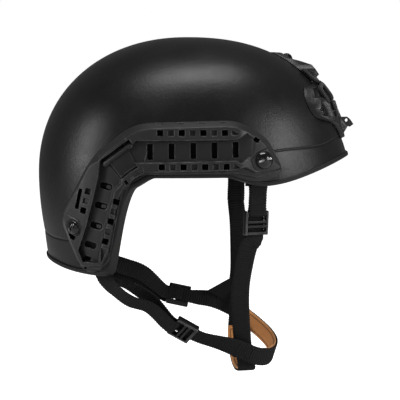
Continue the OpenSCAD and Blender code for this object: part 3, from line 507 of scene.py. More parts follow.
def blend_colour(tree, factor, first, second):
    """A colour between two, by a factor."""
    ends = [end if isinstance(end, bpy.types.NodeSocket) else (*end, 1.0) for end in (first, second)]
    made = add_node(tree, "ShaderNodeMix", {"Factor": factor, 6: ends[0], 7: ends[1]}, data_type="RGBA")
    return made.outputs[2]


def tinted(tree, tone, mask, share, colour):
    """A tone blended towards a colour, up to a share of the way where the mask is full."""
    return blend_colour(tree, spread(tree, mask, 0.0, share), tone, colour)


def dust_on(tree, place, scale):
    """The mask of handling marks and dust."""
    return use_group(tree, DUST, {"Vector": place, "Scale": scale})["Mask"]


def grain_on(tree, place, size, coarseness):
    """The height and the speckle of a fine grain."""
    return use_group(tree, GRAIN, {"Vector": place, "Size": size, "Coarseness": coarseness})


def wear_and_highlight_on(tree, place, amount):
    """The mask of paler edges: rubbed wear and painted highlight."""
    return use_group(tree, WEAR_AND_HIGHLIGHT, {"Vector": place, "Edge": read_mark(tree, "edge"), "Amount": amount})["Mask"]


def read_mark(tree, name):
    """A point attribute of the piece, as a value."""
    return add_node(tree, "ShaderNodeAttribute", attribute_name=name).outputs["Fac"]


def raise_surface(tree, shader, height, depth_mm, under=None):
    """A bump whose height is in millimetres, on the shader's normal, over another bump where one is given."""
    bump = add_node(tree, "ShaderNodeBump", {"Height": height, "Distance": depth_mm * MM})
    if under is not None:
        tree.links.new(under, bump.inputs["Normal"])
    tree.links.new(bump.outputs[0], shader.inputs["Normal"])
    return bump.outputs[0]


def grey(value):
    """A neutral colour of one brightness."""
    return (value, value, value)


# how much smoother the paler edges of wear and painted highlight are, and the black of the painted shade in
# openings
PALE_EDGE_GLOSS, PAINTED_SHADE_BLACK = 0.12, grey(0.0006)


def moulded(name, dark, light, worn_and_highlit, roughness, grain_size, grain_depth, wear_and_highlight_amount, specular):
    """Moulded or painted finish: speckle, dust, paler edges of rubbed wear and painted highlight, a pebbled
    grain, and painted shade that turns openings black and matt.
    """
    material, tree, shader, place = start_material(name, roughness, specular)
    grain = grain_on(tree, place, grain_size, 0.35)
    dust, rubbed_and_highlit, deep = dust_on(tree, place, 22.0), wear_and_highlight_on(tree, place, wear_and_highlight_amount), read_mark(tree, "deep")
    dusty = tinted(tree, blend_colour(tree, grain["Speckle"], dark, light), dust, 0.45, light)
    shown = blend_colour(tree, rubbed_and_highlit, dusty, worn_and_highlit)
    # painted shade: where its mark is full the colour turns to near black
    tree.links.new(blend_colour(tree, deep, shown, PAINTED_SHADE_BLACK), shader.inputs["Base Color"])
    uneven = spread(tree, dust, roughness - 0.04, roughness + 0.06)
    rough = worked_out(tree, "SUBTRACT", uneven, worked_out(tree, "MULTIPLY", rubbed_and_highlit, PALE_EDGE_GLOSS))
    tree.links.new(worked_out(tree, "MAXIMUM", rough, deep), shader.inputs["Roughness"])
    raise_surface(tree, shader, grain["Height"], grain_depth)
    return material


def shiny_metal(name, colour, worn_and_highlit, roughness, metallic=1.0, coat=0.0):
    """Blackened or plated metal: smooth, with faint uneven gloss and brighter marked edges, of rubbed wear
    and painted glint.
    """
    material, tree, shader, place = start_material(name, roughness, 0.5, metallic)
    shader.inputs["Coat Weight"].default_value = coat
    shader.inputs["Coat Roughness"].default_value = 0.03
    tree.links.new(blend_colour(tree, wear_and_highlight_on(tree, place, 0.8), colour, worn_and_highlit), shader.inputs["Base Color"])
    uneven = spread(tree, dust_on(tree, place, 60.0), roughness * 0.8, roughness * 1.4)
    tree.links.new(uneven, shader.inputs["Roughness"])
    return material


def cloth(name, dark, light, roughness, pitch, depth, sheen):
    """Woven tape or cord: threads along and across it, raised ribs painted paler as a highlight, and sewing
    thread.
    """
    material, tree, shader, place = start_material(name, roughness, 0.1)
    shader.inputs["Sheen Weight"].default_value = sheen
    shader.inputs["Sheen Roughness"].default_value = 0.5
    threads = use_group(tree, THREADS, {"Along": read_mark(tree, "along"),
                                        "Across": read_mark(tree, "across"), "Pitch": pitch})["Height"]
    fuzz = grain_on(tree, place, 0.5, 0.2)["Speckle"]
    fuzzy = tinted(tree, blend_colour(tree, threads, dark, light), fuzz, 0.35, light)
    # painted highlight: the marked ribs and strands are tinted towards the light colour
    rib_highlit = tinted(tree, fuzzy, read_mark(tree, "edge"), 0.8, light)
    dusty = tinted(tree, rib_highlit, dust_on(tree, place, 40.0), 0.3, light)
    sewn_over = blend_colour(tree, read_mark(tree, "thread"), dusty, grey(0.014))
    tree.links.new(sewn_over, shader.inputs["Base Color"])
    raise_surface(tree, shader, threads, depth)
    return material


def suede(name):
    """Lining leather: a fine cellular nap with slow patches, paler rubbed edges and dark stitching."""
    material, tree, shader, place = start_material(name, 0.72, 0.25)
    shader.inputs["Sheen Weight"].default_value = 0.1
    cells = add_node(tree, "ShaderNodeTexVoronoi", {"Vector": place, "Scale": 900.0}).outputs["Distance"]
    nap = grain_on(tree, place, 0.8, 0.5)
    tone = blend_colour(tree, nap["Speckle"], (0.42, 0.165, 0.045), (0.6, 0.27, 0.09))
    patchy = tinted(tree, tone, dust_on(tree, place, 60.0), 0.6, (0.46, 0.19, 0.06))
    edged = tinted(tree, patchy, read_mark(tree, "edge"), 0.75, (0.66, 0.38, 0.2))
    sewn_over = blend_colour(tree, read_mark(tree, "thread"), edged, (0.012, 0.006, 0.004))
    tree.links.new(sewn_over, shader.inputs["Base Color"])
    under = raise_surface(tree, shader, cells, 0.06)
    raise_surface(tree, shader, nap["Height"], 0.05, under)
    return material


def brushed_fabric(name):
    """Pad cover: a brushed loop pile with a faint woven grid under it, and a plainer piping."""
    material, tree, shader, place = start_material(name, 0.9, 0.15)
    shader.inputs["Sheen Weight"].default_value = 0.35
    pile = grain_on(tree, place, 1.4, 0.6)
    grid = add_node(tree, "ShaderNodeTexWave", {"Vector": place, "Scale": 330.0, "Distortion": 1.5,
                                                "Detail": 1.0}).outputs["Fac"]
    tone = blend_colour(tree, pile["Speckle"], (0.009, 0.009, 0.0095), (0.024, 0.024, 0.025))
    patchy = tinted(tree, tone, dust_on(tree, place, 35.0), 0.4, (0.02, 0.02, 0.021))
    piped = blend_colour(tree, read_mark(tree, "edge"), patchy, grey(0.011))
    tree.links.new(piped, shader.inputs["Base Color"])
    under = raise_surface(tree, shader, pile["Height"], 0.25)
    raise_surface(tree, shader, grid, 0.08, under)
    return material


# dark and light of the speckle, and the paler edge colour (worn, and on the rails and locks a painted
# highlight); roughness, grain size, grain depth, amount of paler edge, specular level
MOULDED = {
    "shell_paint": ((0.0036, 0.0034, 0.0038), (0.0066, 0.0062, 0.0069), grey(0.05),
                    0.36, 1.3, 0.2, 0.3, 0.17),
    "rail_plastic": ((0.0085, 0.0082, 0.0089), (0.0155, 0.015, 0.0162), (0.07, 0.068, 0.07),
                     0.44, 0.6, 0.02, 0.7, 0.18),
    "trim_rubber": (grey(0.005), grey(0.009), grey(0.03), 0.6, 0.7, 0.02, 0.4, 0.2),
    "plate_plastic": ((0.0035, 0.0033, 0.0037), (0.0068, 0.0065, 0.0072), (0.07, 0.068, 0.07),
                      0.42, 0.6, 0.02, 0.8, 0.22),
    "hook_plastic": (grey(0.008), grey(0.014), grey(0.06), 0.4, 0.5, 0.015, 0.6, 0.25),
    "lock_plastic": ((0.003, 0.003, 0.0032), (0.006, 0.006, 0.0063), grey(0.09), 0.34, 0.5, 0.015, 0.9, 0.22),
    "band_plastic": ((0.012, 0.012, 0.0125), (0.02, 0.02, 0.021), grey(0.06), 0.45, 0.6, 0.02, 0.5, 0.25),
    "dial_rubber": ((0.011, 0.011, 0.0115), (0.017, 0.017, 0.0175), grey(0.05), 0.62, 0.7, 0.03, 0.6, 0.2)}
# colour and the paler edge colour (worn, and on the rail screws a painted glint in the slot); roughness, then
# how metallic and how much coat where that isn't plain metal
METALS = {
    "screw_black": (grey(0.004), grey(0.75), 0.2, 0.6, 0.25),
    "bracket_metal": ((0.012, 0.012, 0.013), grey(0.2), 0.36, 0.8),
    "insert_metal": ((0.07, 0.07, 0.074), grey(0.35), 0.3),
    "eye_metal": ((0.045, 0.045, 0.047), grey(0.3), 0.32),
    "nut_steel": ((0.2, 0.2, 0.205), grey(0.5), 0.28)}
# dark and light of the threads, the light also painted on raised ribs as a highlight; roughness, pitch and
# depth of the weave in millimetres, sheen
WOVEN = {
    "webbing": ((0.0008, 0.0008, 0.0009), (0.0085, 0.0085, 0.009), 0.72, 0.9, 0.08, 0.01),
    "elastic_cord": (grey(0.005), grey(0.016), 0.75, 0.8, 0.06, 0.15)}

FINISHES = {"pad_fabric": brushed_fabric("pad_fabric"), "chin_leather": suede("chin_leather")}
for make_finish, finishes in ((moulded, MOULDED), (shiny_metal, METALS), (cloth, WOVEN)):
    for finish_name, look in finishes.items():
        FINISHES[finish_name] = make_finish(finish_name, *look)


def refinish(slot, *nodes):
    """Gives nodes whose solid already has the right shape their finish."""
    for node in nodes:
        for material_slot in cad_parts[node].material_slots:
            material_slot.material = FINISHES[slot]


# Ribbons and tubes along a path

def ribbon_path(centres, ways, step=0.4):
    """A smooth centre line with its direction across and its face: (distance along, centre, across, face)."""
    drawn = np.hstack([np.asarray(centres, float), np.asarray(ways, float)])
    line = through(drawn, max(12, int(lengths_along(drawn[:, :3])[-1] / step)))
    centre = line[:, :3]
    ahead = unit(np.gradient(centre, axis=0))
    face = unit(np.cross(ahead, line[:, 3:]))
    return lengths_along(centre), centre, unit(np.cross(face, ahead)), face


def on_ribbon(path, s, u, lift):
    """A place on a ribbon: s along it, u across it and lift off its middle plane."""
    along, centre, across, face = path
    s, u, lift = np.broadcast_arrays(*(np.asarray(v, float) for v in (s, u, lift)))

    def at(rows):
        return np.stack([np.interp(s, along, rows[:, k]) for k in range(3)], -1)
    return at(centre) + at(across) * u[..., None] + at(face) * lift[..., None]


def ribbon_solid(path, width, thick, rib_pitch=2.3, rib_depth=0.42, across_count=11, closed=False):
    """A ribbon with rounded edges: cross ribs raise both faces by a squared cosine and notch the edges."""
    along = path[0]
    u = np.linspace(-1, 1, across_count)
    fullness = np.maximum((1 - np.abs(u) ** 6) ** (1 / 3), 0.12)
    rib = np.cos(math.pi * along / rib_pitch) ** 2 if rib_pitch else np.zeros_like(along)
    half = width / 2 - rib_depth * (1 - rib)
    top = (thick / 2 - rib_depth * (1 - rib))[:, None] * fullness
    face = on_ribbon(path, along[:, None], half[:, None] * u, top)
    back = on_ribbon(path, along[:, None], half[:, None] * u[::-1], -top[:, ::-1])
    rings = np.concatenate([face, back], 1)
    # the rib crests are marked to be painted paler: a painted highlight
    edge = np.repeat(rib[:, None], 2 * across_count, 1) * 0.8
    marks = {"edge": edge, "along": np.repeat(along[:, None], 2 * across_count, 1),
             "across": np.broadcast_to(np.concatenate([u, u[::-1]]) * width / 2, edge.shape)}
    if closed:
        return endless_tube(rings), {mark: values.ravel() for mark, values in marks.items()}
    return capped_tube(rings), {mark: np.append(values.ravel(), values[[0, -1], 0])
                                for mark, values in marks.items()}


def tube_solid(line, radius, around=16, up=(0.0, 1.0, 0.3)):
    """A round tube along a line: its radius is one number, or one for each point or each place round it."""
    ahead = unit(np.gradient(line, axis=0))
    first = unit(np.cross(ahead, np.asarray(up)))
    second = np.cross(ahead, first)
    turn = np.linspace(0, 360, around, endpoint=False)
    radius = np.asarray(radius, float)
    if radius.ndim < 2:
        radius = np.broadcast_to(radius, (len(line),))[:, None]
    ring = first[:, None] * cosd(turn)[None, :, None] + second[:, None] * sind(turn)[None, :, None]
    return capped_tube(line[:, None] + radius[..., None] * ring)


def stitch_row(path, start, end, pitch=2.6, lift=0.9, radius=0.32):
    """Stitches between two places (along, across) on a ribbon: each a short bulged thread."""
    start, end = np.asarray(start, float), np.asarray(end, float)
    count = max(1, int(np.hypot(*(end - start)) / pitch))
    solids = []
    for k in range(count):
        share = np.linspace((k + 0.14) / count, (k + 0.86) / count, 6)
        place = start + (end - start) * share[:, None]
        bulge = np.sin(np.linspace(0.25, math.pi - 0.25, 6))
        line = on_ribbon(path, place[:, 0], place[:, 1], lift + 0.12 * bulge)
        solids.append(tube_solid(line, radius * (0.45 + 0.55 * bulge), 6, (0.31, 0.7, 0.64)))
    return solids


def sewn(body, marks, threads):
    """A ribbon joined with its stitches, and a mark that tells the thread from the cloth."""
    points, faces = joined(body, *threads)
    extra = len(points) - len(body[0])
    full = {name: np.pad(values, (0, extra)) for name, values in marks.items()}
    full["thread"] = np.concatenate([np.zeros(len(body[0])), np.ones(extra)])
    return (points, faces), full


# Shell

def rim_azimuths(count, reach=180.0):
    """Azimuths round the shell at equal steps along the rim, which gives its steep parts their share."""
    fine = np.linspace(-reach, reach, 7200, endpoint=False)
    place = dome(fine, rim(fine))
    along = lengths_along(np.concatenate([place, place[:1]]))
    at = np.linspace(0, along[-1], count, endpoint=False)
    return np.interp(at, along, np.append(fine, reach))


CREASE_DEPTH, CREASE_WIDTH, CREASE_REACH = 0.55, 0.75, 2.6
LIP_ROUND = 0.9


def crease_groove(azimuth, z):
    """Depth of the crease: a narrow furrow along it that fades out in the middle of the brow."""
    s = np.abs(azimuth)
    depth = CREASE_DEPTH * (ramp(6, 24, s) * (1 - ramp(62, 70, s)) + ramp(132, 142, s))
    return depth * hump(z, crease(azimuth), CREASE_WIDTH)


def make_shell():
    """Rings from the crown down to the crease, over the lower band, round the lip and up the inside."""
    azimuth = rim_azimuths(420)
    c, r = crease(azimuth), rim(azimuth)
    n = RISE_N + RISE_SHIFT * cosd(azimuth)

    def turn_down_to(z, height, over_belt):
        """The turn from the crown down to z: an arc where that is over the belt, else on straight down."""
        share = np.clip((z - BELT_Z) / height, 0, 1)
        return np.where(over_belt, np.arccos(share ** (n / 2)), math.pi / 2 + (BELT_Z - z) / height)

    def dome_ring(turn, off):
        """A ring of the dome at a turn from its crown."""
        height = CROWN_H + off
        arc = BELT_Z + height * np.cos(np.minimum(turn, math.pi / 2)) ** (2 / n)
        return dome(azimuth, np.where(turn > math.pi / 2, BELT_Z - height * (turn - math.pi / 2), arc), off)

    top = c + 3
    turn_end = turn_down_to(top, CROWN_H, top > BELT_Z)
    rings = [dome_ring(turn_end * share, 0.0) for share in np.linspace(0, 1, 58)[1:]]
    for drop in np.linspace(CREASE_REACH, -CREASE_REACH, 17):
        z = c + drop
        rings.append(dome(azimuth, z, band_off(azimuth, z) - crease_groove(azimuth, z)))
    below = c - CREASE_REACH
    for share in np.linspace(0.1, 1, 14):
        z = below + (r + LIP_ROUND - below) * share
        rings.append(dome(azimuth, z, band_off(azimuth, z)))
    for angles, edge, way in (((20, 45, 70, 90), flare(azimuth), -1), ((90, 60, 30, 0), -SHELL_T, 1)):
        for angle in angles:
            z = r + LIP_ROUND * (1 - sind(angle))
            rings.append(dome(azimuth, z, edge + way * LIP_ROUND * (1 - cosd(angle))))
    low = turn_down_to(r + 1, CROWN_H - SHELL_T, r > BELT_Z)
    rings += [dome_ring(low * share, -SHELL_T) for share in np.linspace(1, 0, 44)[:-1]]
    crown = [(MID_X, 0, CROWN_Z), (MID_X, 0, CROWN_Z - SHELL_T)]
    dress("shell", capped_tube(np.array(rings), crown), "shell_paint", sharp=60)


TRIM_LEG, TRIM_CURVE = 2.4, TRIM_T + 0.3


def make_edge_trim():
    """A rounded rubber channel over the rim: a short ribbed leg outside, a longer one inside."""
    azimuth = rim_azimuths(480)
    s = np.abs(azimuth)
    low = rim(azimuth)
    leg = TRIM_LEG + (TRIM_BAND - TRIM_LEG) * ramp(60, 72, s) * (1 - ramp(136, 146, s))
    up = along_rim(azimuth, 1.0)
    outside = flare(azimuth) + TRIM_GAP
    inside = -SHELL_T - GAP
    bottom = low - GAP

    def outer(share, lift):
        """A place on the outer leg, a share of the way up it and lifted outward."""
        z = low + leg * up * share
        return dome(azimuth, z, band_off(azimuth, z) + TRIM_GAP + lift)

    def inner(share, lift):
        """A place on the inner leg, a share of the way up it and lifted inward."""
        return dome(azimuth, low + TRIM_BAND * up * share, inside - lift)

    def under(angle, edge, way):
        """A place on the rounded underside, turned by an angle down from the outer or inner edge."""
        return dome(azimuth, bottom - TRIM_T * sind(angle), edge + way * (TRIM_CURVE * cosd(angle) - 0.4))

    rings = [outer(1.0, 0), outer(1.04, 0.35), outer(1.0, 0.8), outer(0.9, TRIM_T), outer(0.62, TRIM_T),
             outer(0.52, 0.7), outer(0.42, TRIM_T), outer(0.15, TRIM_T + 0.1), outer(0.0, TRIM_T - 0.05)]
    rings += [under(angle, outside, 1) for angle in (25, 50, 75, 90)]
    rings += [under(angle, inside, -1) for angle in (90, 60, 30)]
    rings += [inner(0.05, TRIM_T), inner(0.9, TRIM_T), inner(1.0, 0.8), inner(1.04, 0.35), inner(1.0, 0)]
    rings += [dome(azimuth, bottom + lift, off)
              for lift, off in ((0.1, inside), (0.0, inside + 0.3), (0.0, outside - 0.3), (0.1, outside))]
    dress("edge_trim", endless_tube(np.array(rings)), "trim_rubber", sharp=50)


make_shell()
make_edge_trim()


# Rails, worked out as they are seen from the right side: x forward, then height

# outer edge then inner edge at stations from the tail to the front tip
RAIL_STATIONS = [
    (-97.5, -173.6, -93, -174.2), (-102.5, -169.5, -86, -171), (-106.5, -163, -80, -164.6),
    (-110, -154.5, -76.8, -158.2), (-114.5, -143.5, -74.8, -149.5), (-118.4, -131.5, -72.3, -139),
    (-117, -121, -70.3, -127), (-111.5, -109.5, -67.9, -116), (-104, -95, -65.6, -107),
    (-97, -81.5, -62.8, -99.2), (-88, -69.5, -59.6, -93.7), (-76, -59.7, -55.8, -90.4),
    (-64, -50.8, -53, -89),
    (-51, -45.8, -46, -88.4), (-32, -44.5, -32, -88.2), (-10, -44, -10, -88), (10, -43.5, 10, -88.2),
    (25, -43.7, 23, -88.8), (35, -46.5, 33, -92), (45, -52, 42, -94.4), (54.5, -59.3, 52, -94.4),
    (61, -69, 61, -91.8), (67, -81.4, 67.4, -87)]
# heights over the rail's underside: start of the bevel, channel floor, rib, lobe, ledge, lip and outer wall
RAIL_EDGE_H, RAIL_FLOOR_H, RAIL_RIB_H, RAIL_LOBE_H = 1.97, 3.0, 7.5, 5.5
LEDGE_H, LIP_H, WALL_H = 3.6, 1.9, 0.9
FRONT_HEAD_R, REAR_HEAD_R, PLATE_HEAD_R, SHANK_R = 7.4, 6.2, 4.6, 2.5
PITCH = 9.05
# how deep an opening goes: down to the rail's thin floor, or a shallow mark
THROUGH, SHALLOW = 9.0, 2.0

TOP_CHANNEL = [(-58, -78), (-66, -71), (-57, -60.2), (26.5, -59.6), (31, -57.8), (37, -54), (44, -60),
               (42, -72), (31.5, -78.7), (26.3, -76.3), (-48, -77.6)]
ARM_CHANNEL = [(-86.5, -78), (-88.4, -93), (-93.1, -113.3), (-98.4, -135.2), (-104.7, -154.4),
               (-101, -163.8), (-88.6, -164.2), (-87.3, -154.7), (-82.6, -134.8), (-78.4, -116.3),
               (-75.3, -101.8), (-69.5, -96.2), (-69.5, -91.5), (-79, -79)]
RECESS = [(-86.4, -76.6), (-62.8, -58.9), (-59.5, -63.4), (-83, -81)]
COVER = [(-79.2, -77), (-63.6, -65.6), (-56.6, -80), (-62.5, -84.5), (-69.1, -90.2)]
COVER_EDGE = [(-78.6, -79.0), (-69.1, -91.3), (-62, -85.2), (-56.2, -81.4)]
BEVEL_STEP = [(-85.5, -75.5), (-64, -59.4), (-69.5, -51.5), (-91.5, -68.5)]
GROOVED_BAR = [(-68.1, -93.6), (-61.9, -86.1), (-51.5, -80.8), (-50, -86), (-59.8, -92.4), (-66.1, -97.8)]
GROOVE_PITCH = 1.5
BARREL, BARREL_R, BARREL_H = [(-82.4, -79.2), (-61.8, -63.7)], 2.6, 3.4
PLATEAU_LOW = [(-150, -30), (-150, -164.5), (-101.5, -168.2), (-85.5, -167), (-80.6, -157), (-73.6, -119),
               (-71.4, -107.5), (-67.2, -99.4), (-60.4, -92.8), (-50, -86.4), (24.2, -84.9), (34.9, -82.4),
               (43.5, -86.9), (54.7, -86.4), (63.7, -84.7), (80, -84), (80, -30)]
LIP_LOW = [(-150, -30), (-150, -168), (-104, -170), (-86.5, -170.6), (-79.5, -162.5), (-77, -150),
           (-71, -116), (-67.5, -102), (-60.5, -94.6), (-50, -88), (24, -87.2), (30.7, -88.2),
           (45.2, -91.4), (56.3, -89.2), (65, -84), (80, -84), (80, -30)]
SCREW_PAD = [(57.5, -64.7), (44.5, -70.8), (39.7, -76.3), (42.2, -83.4), (46.6, -86.1), (54.7, -86.3),
             (66, -85), (66, -78)]
ARM_OPENINGS = [(-81.5, -98.4), (-85.7, -115), (-89.9, -132.4), (-94.7, -149.6)]
ARM_SQUARES = [(-73.4, -111.2), (-75.6, -119.6), (-77.8, -128.1), (-80, -136.8), (-82.3, -145.4)]
# single openings, each a rounded box: centre, width, height, turn, corner radius and depth
RAIL_HOLES = [
    ((-96.9, -102.9), 4.2, 4.4, -12, 0.4, 3.0), ((-98.8, -111.1), 4.2, 4.4, -12, 0.4, 1.6),
    ((-100.8, -119.4), 4.2, 4.4, -12, 0.4, THROUGH), ((-104.6, -109.5), 2.3, 17, -12, 0.3, THROUGH),
    ((-109.6, -143.6), 3.6, 3.0, -28, 0.3, THROUGH), ((-112, -141.6), 1.6, 1.4, -28, 0.2, THROUGH),
    ((-97, -161.3), 4.8, 2.6, -15, 0.3, THROUGH), ((-100, -162.8), 1.6, 2.8, -15, 0.2, THROUGH),
    ((-98.9, -170.6), 1.6, 1.6, 0, 0.4, THROUGH), ((45.1, -59.5), 4.2, 3.2, -30, 0.4, THROUGH),
    ((-37, -45.9), 5, 0.9, 1.5, 0.3, 0.9), ((-19.2, -45.6), 5, 0.9, 1.5, 0.3, 0.9),
    ((-1.3, -45.2), 5, 0.9, 1.5, 0.3, 0.9), ((16.8, -44.9), 5, 0.9, 1.5, 0.3, 0.9)]
# fine lines scored into the rail, and their depth
SCORES = [([(-113.6, -123.3), (-104.6, -128.1), (-102.6, -134.5), (-104, -141)], 0.7),
          ([(-45.8, -60.2), (-50.5, -77.4)], 0.5)]


def set_level(h, distance, level, width=0.8):
    """Brings the height to a level inside a shape, with a smooth wall as wide as given."""
    inside = 1 - ramp(-width / 2, width / 2, distance)
    return h + (level - h) * inside


def carved(h, distance, depth, width=0.7, floor=0.2):
    """Cuts a recess of a depth below the surface inside a shape, no lower than the floor."""
    inside = 1 - ramp(-width / 2, width / 2, distance)
    return np.maximum(h - depth * inside, np.minimum(h, floor))


def rail_height(x, z, from_outer, from_inner):
    """Height over the rail's underside: bevel, plateau, channels, corner, lobe and all its openings.

    from_outer and from_inner are the distances to the rail's two edges.
    """
    def within(corners):
        """Signed distance to one of the rail's outlines."""
        return polygon_distance(x, z, corners)

    def hole(surface, centre, width, height, turned, corner, depth):
        """The surface with a rounded box cut into it."""
        return carved(surface, box_distance(x, z, centre, width, height, turned, corner), depth)

    wide = 1.5 + 3.4 * ramp(-97, -88, x) * ramp(-84, -76, z)
    lowered = np.maximum(ramp(30, 42, x), 0.55 * (1 - ramp(-112, -100, x)))
    rib = RAIL_RIB_H - (RAIL_RIB_H - RAIL_LOBE_H) * lowered
    h = RAIL_EDGE_H + (rib - RAIL_EDGE_H) * np.clip(from_outer / wide, 0, 1)
    # the straight stretch of the bevel at the corner stands out with a small step at each end
    h = h + 0.7 * (1 - ramp(-0.3, 0.3, within(BEVEL_STEP))) * np.clip(from_outer / 3, 0, 1)
    h = h + (LEDGE_H - h) * ramp(-0.6, 0.6, within(PLATEAU_LOW))
    lipped = np.minimum(h, h + (LIP_H - h) * ramp(-0.35, 0.35, within(LIP_LOW)))
    h = np.where(from_inner < 12, lipped, h)
    top_floor = RAIL_FLOOR_H + (RAIL_LOBE_H - 0.4 - RAIL_FLOOR_H) * ramp(28, 41, x)
    for corners, level, wall in ((TOP_CHANNEL, top_floor, 1.1), (ARM_CHANNEL, RAIL_FLOOR_H - 0.4, 1.6),
                                 (RECESS, 0.9, 0.8), (COVER, 4.4, 0.7)):
        h = set_level(h, within(corners), level, wall)
    bar = within(GROOVED_BAR)
    h = h - 3.4 * (1 - ramp(0.3, 1.0, line_distance(x, z, COVER_EDGE))) * (bar > 0)
    barrel = line_distance(x, z, BARREL)
    rounded = BARREL_H + np.sqrt(np.maximum(0, BARREL_R ** 2 - barrel ** 2))
    h = np.where(barrel < BARREL_R, np.maximum(h, rounded), h)
    waves = 0.5 + 0.5 * np.cos(line_distance(x, z, GROOVED_BAR[:3]) * 2 * math.pi / GROOVE_PITCH)
    grooves = 0.6 * waves * ramp(-64, -60, x) * ramp(-0.2, 0.8, -bar)
    h = set_level(h, bar, RAIL_RIB_H, 1.0) - grooves * (bar < 0)
    h = hole(h, (-65.2, -94.4), 3.4, 2.4, -50, 0.5, 4.5)
    # the lobe's seat round the screw, and the stepped lips below it
    pad = within(SCREW_PAD)
    h = h - 0.45 * (1 - ramp(-0.4, 0.4, pad)) * (x > 36)
    h = h - 0.5 * (1 - ramp(0.2, 0.6, np.abs(pad))) * (x > 36) * (x < 64)
    for k in range(7):
        for start, row in ((-36.7, -53.3), (-35.5, -81.6)):
            h = hole(h, (start + PITCH * k, row), 4.6, 4.4, 0, 0.4, SHALLOW if k % 2 else THROUGH)
    for cx, cz in ((25.6, -53), (26.9, -81.2)):
        h = carved(h, within([(cx - 2, cz - 2), (cx + 3.4, cz - 1.6), (cx - 1.4, cz + 2)]), SHALLOW)
    for k in range(5):
        slot = box_distance(x, z, (-45 + 18 * k, -69 + 0.35 * k), 4.4, 12.6, 0, 0.3)
        h = carved(h, slot, THROUGH, 0.5)
    for k, (cx, cz) in enumerate(ARM_OPENINGS):
        h = hole(h, (cx, cz), 9.4, 4.8, -15, 1.6, THROUGH)
        if k < 3:
            half = box_distance(x, z, (cx + 2.3, cz - 0.6), 4.4, 3.6, -15, 1.2)
            h = np.maximum(h, LIP_H * (1 - ramp(-0.3, 0.3, half)))
    for k, centre in enumerate(ARM_SQUARES):
        h = hole(h, centre, 4.8, 4.6, -15, 0.4, SHALLOW if k % 2 else THROUGH)
    h = carved(h, within([(-86.3, -151), (-81.4, -152.6), (-85.8, -163)]), 2.2)
    for box in RAIL_HOLES:
        h = hole(h, *box)
    for line, depth in SCORES:
        h = carved(h, line_distance(x, z, line) - 0.45, depth)
    off_edge = ramp(-0.9, 0.5, np.minimum(from_outer, from_inner))
    return np.maximum(h, 0.2) * off_edge + WALL_H * (1 - off_edge)


def screw_frame(place):
    """The shell's point under a screw, and the axes on it: forward, up and outward."""
    return dome(*place), axes_on(*place)


def seen_from_screw(points, place):
    """Points in a screw's own axes: forward, up and outward."""
    base, axes = screw_frame(place)
    return (points - base) @ axes.T


def seat_flat(points, place, radius, seat):
    """Points brought down to a flat seat, square to a screw, inside its radius."""
    base, axes = screw_frame(place)
    local = seen_from_screw(points, place)
    inside = 1 - ramp(radius + 0.7, radius + 1.3, np.hypot(local[..., 0], local[..., 1]))
    local[..., 2] -= np.maximum(0, local[..., 2] - seat) * inside
    return local @ axes + base


def convexity(heights, reach=2):
    """How far a height stands over the mean of its neighbours, from 0 to 1: paler edges, of rubbed wear and
    painted highlight.
    """
    around = np.zeros_like(heights)
    for shift in ((reach, 0), (-reach, 0), (0, reach), (0, -reach)):
        around += np.roll(heights, shift, (0, 1)) / 4
    return np.clip((heights - around) / 0.5, 0, 1)


def steps_from_end(rows):
    """For each row, how many rows it lies from the nearer end."""
    return np.minimum(np.arange(rows), np.arange(rows)[::-1])[:, None]


def top_marks(extra, **fields):
    """Marks of a capped tube whose rings start with a height field: nothing on the rest and on the caps."""
    return {mark: np.append(np.pad(values, ((0, 0), (0, extra))).ravel(), [0, 0])
            for mark, values in fields.items()}


def make_rails(rows=640, cols=104):
    """A height field between the rail's edges, with side walls down to the shell and a plain underside."""
    edges = through(RAIL_STATIONS, rows)
    outer, inner = edges[:, :2], edges[:, 2:]

    def between(share):
        """Places x and z, at shares of the way from the outer edge to the inner one."""
        flat = outer[:, None] + (inner - outer)[:, None] * share[None, :, None]
        return flat[..., 0], flat[..., 1]

    x, z = between(np.linspace(0, 1, cols))
    from_outer, from_inner = (line_distance(x, z, edge[::4]) for edge in (outer, inner))
    h = rail_height(x, z, from_outer, from_inner)
    from_end = steps_from_end(rows) * np.linalg.norm(outer[1] - outer[0])
    h = WALL_H + (h - WALL_H) * ramp(-0.5, 1.6, from_end)
    top = on_right_side(x, z, h)
    for place, radius in ((FRONT_SCREW, FRONT_HEAD_R), (REAR_SCREW, REAR_HEAD_R)):
        top = seat_flat(top, place, radius, RAIL_LOW + RAIL_LOBE_H)
    foot = np.array([-0.3, 0, 0, 0, 0, -1.8, -1.8])
    under_x, under_z = between(np.array([1.0, 0.75, 0.5, 0.25, 0.05, 0.04, 0.0]))
    under = on_right_side(under_x, under_z, np.broadcast_to(foot, under_x.shape))
    # painted shade: openings near the underside are painted black, and the corner cover and the top channel
    # partly darker
    deep = ramp(0.8, 0.3, h) * (np.minimum(from_outer, from_inner) > 1.5)
    for corners, shade in ((COVER, 0.45), (TOP_CHANNEL, 0.2)):
        deep = np.maximum(deep, shade * (1 - ramp(-0.6, 0.2, polygon_distance(x, z, corners))))
    dress_pair("rail", capped_tube(np.concatenate([top, under], 1)), "rail_plastic", sharp=50,
               marks=top_marks(len(foot), edge=convexity(h), deep=deep))


# Screws

# height of one turn of the screws' thread, and its depth
THREAD_STEP, THREAD_DEPTH = 0.8, 0.25


def head_disc(radius, height, seat, slot_width, slot_depth, turned, rings=46, around=120):
    """The domed face of a head on a polar grid; inside a turned slot it sinks to a flat floor."""
    dome_r = (radius ** 2 + height ** 2) / (2 * height)
    r = np.linspace(1, 1 / rings, rings)[:, None] * radius
    turn = np.linspace(0, 360, around, endpoint=False)[None]
    x, y = r * cosd(turn), r * sind(turn)
    z = seat + height - dome_r + np.sqrt(dome_r ** 2 - r ** 2) + 0 * turn
    across = np.abs(y * cosd(turned) - x * sind(turned))
    slot = 1 - ramp(slot_width / 2 - 0.12, slot_width / 2 + 0.12, across)
    z = z + (np.minimum(z, seat + height - slot_depth) - z) * slot
    return np.stack([x, y, z], -1)


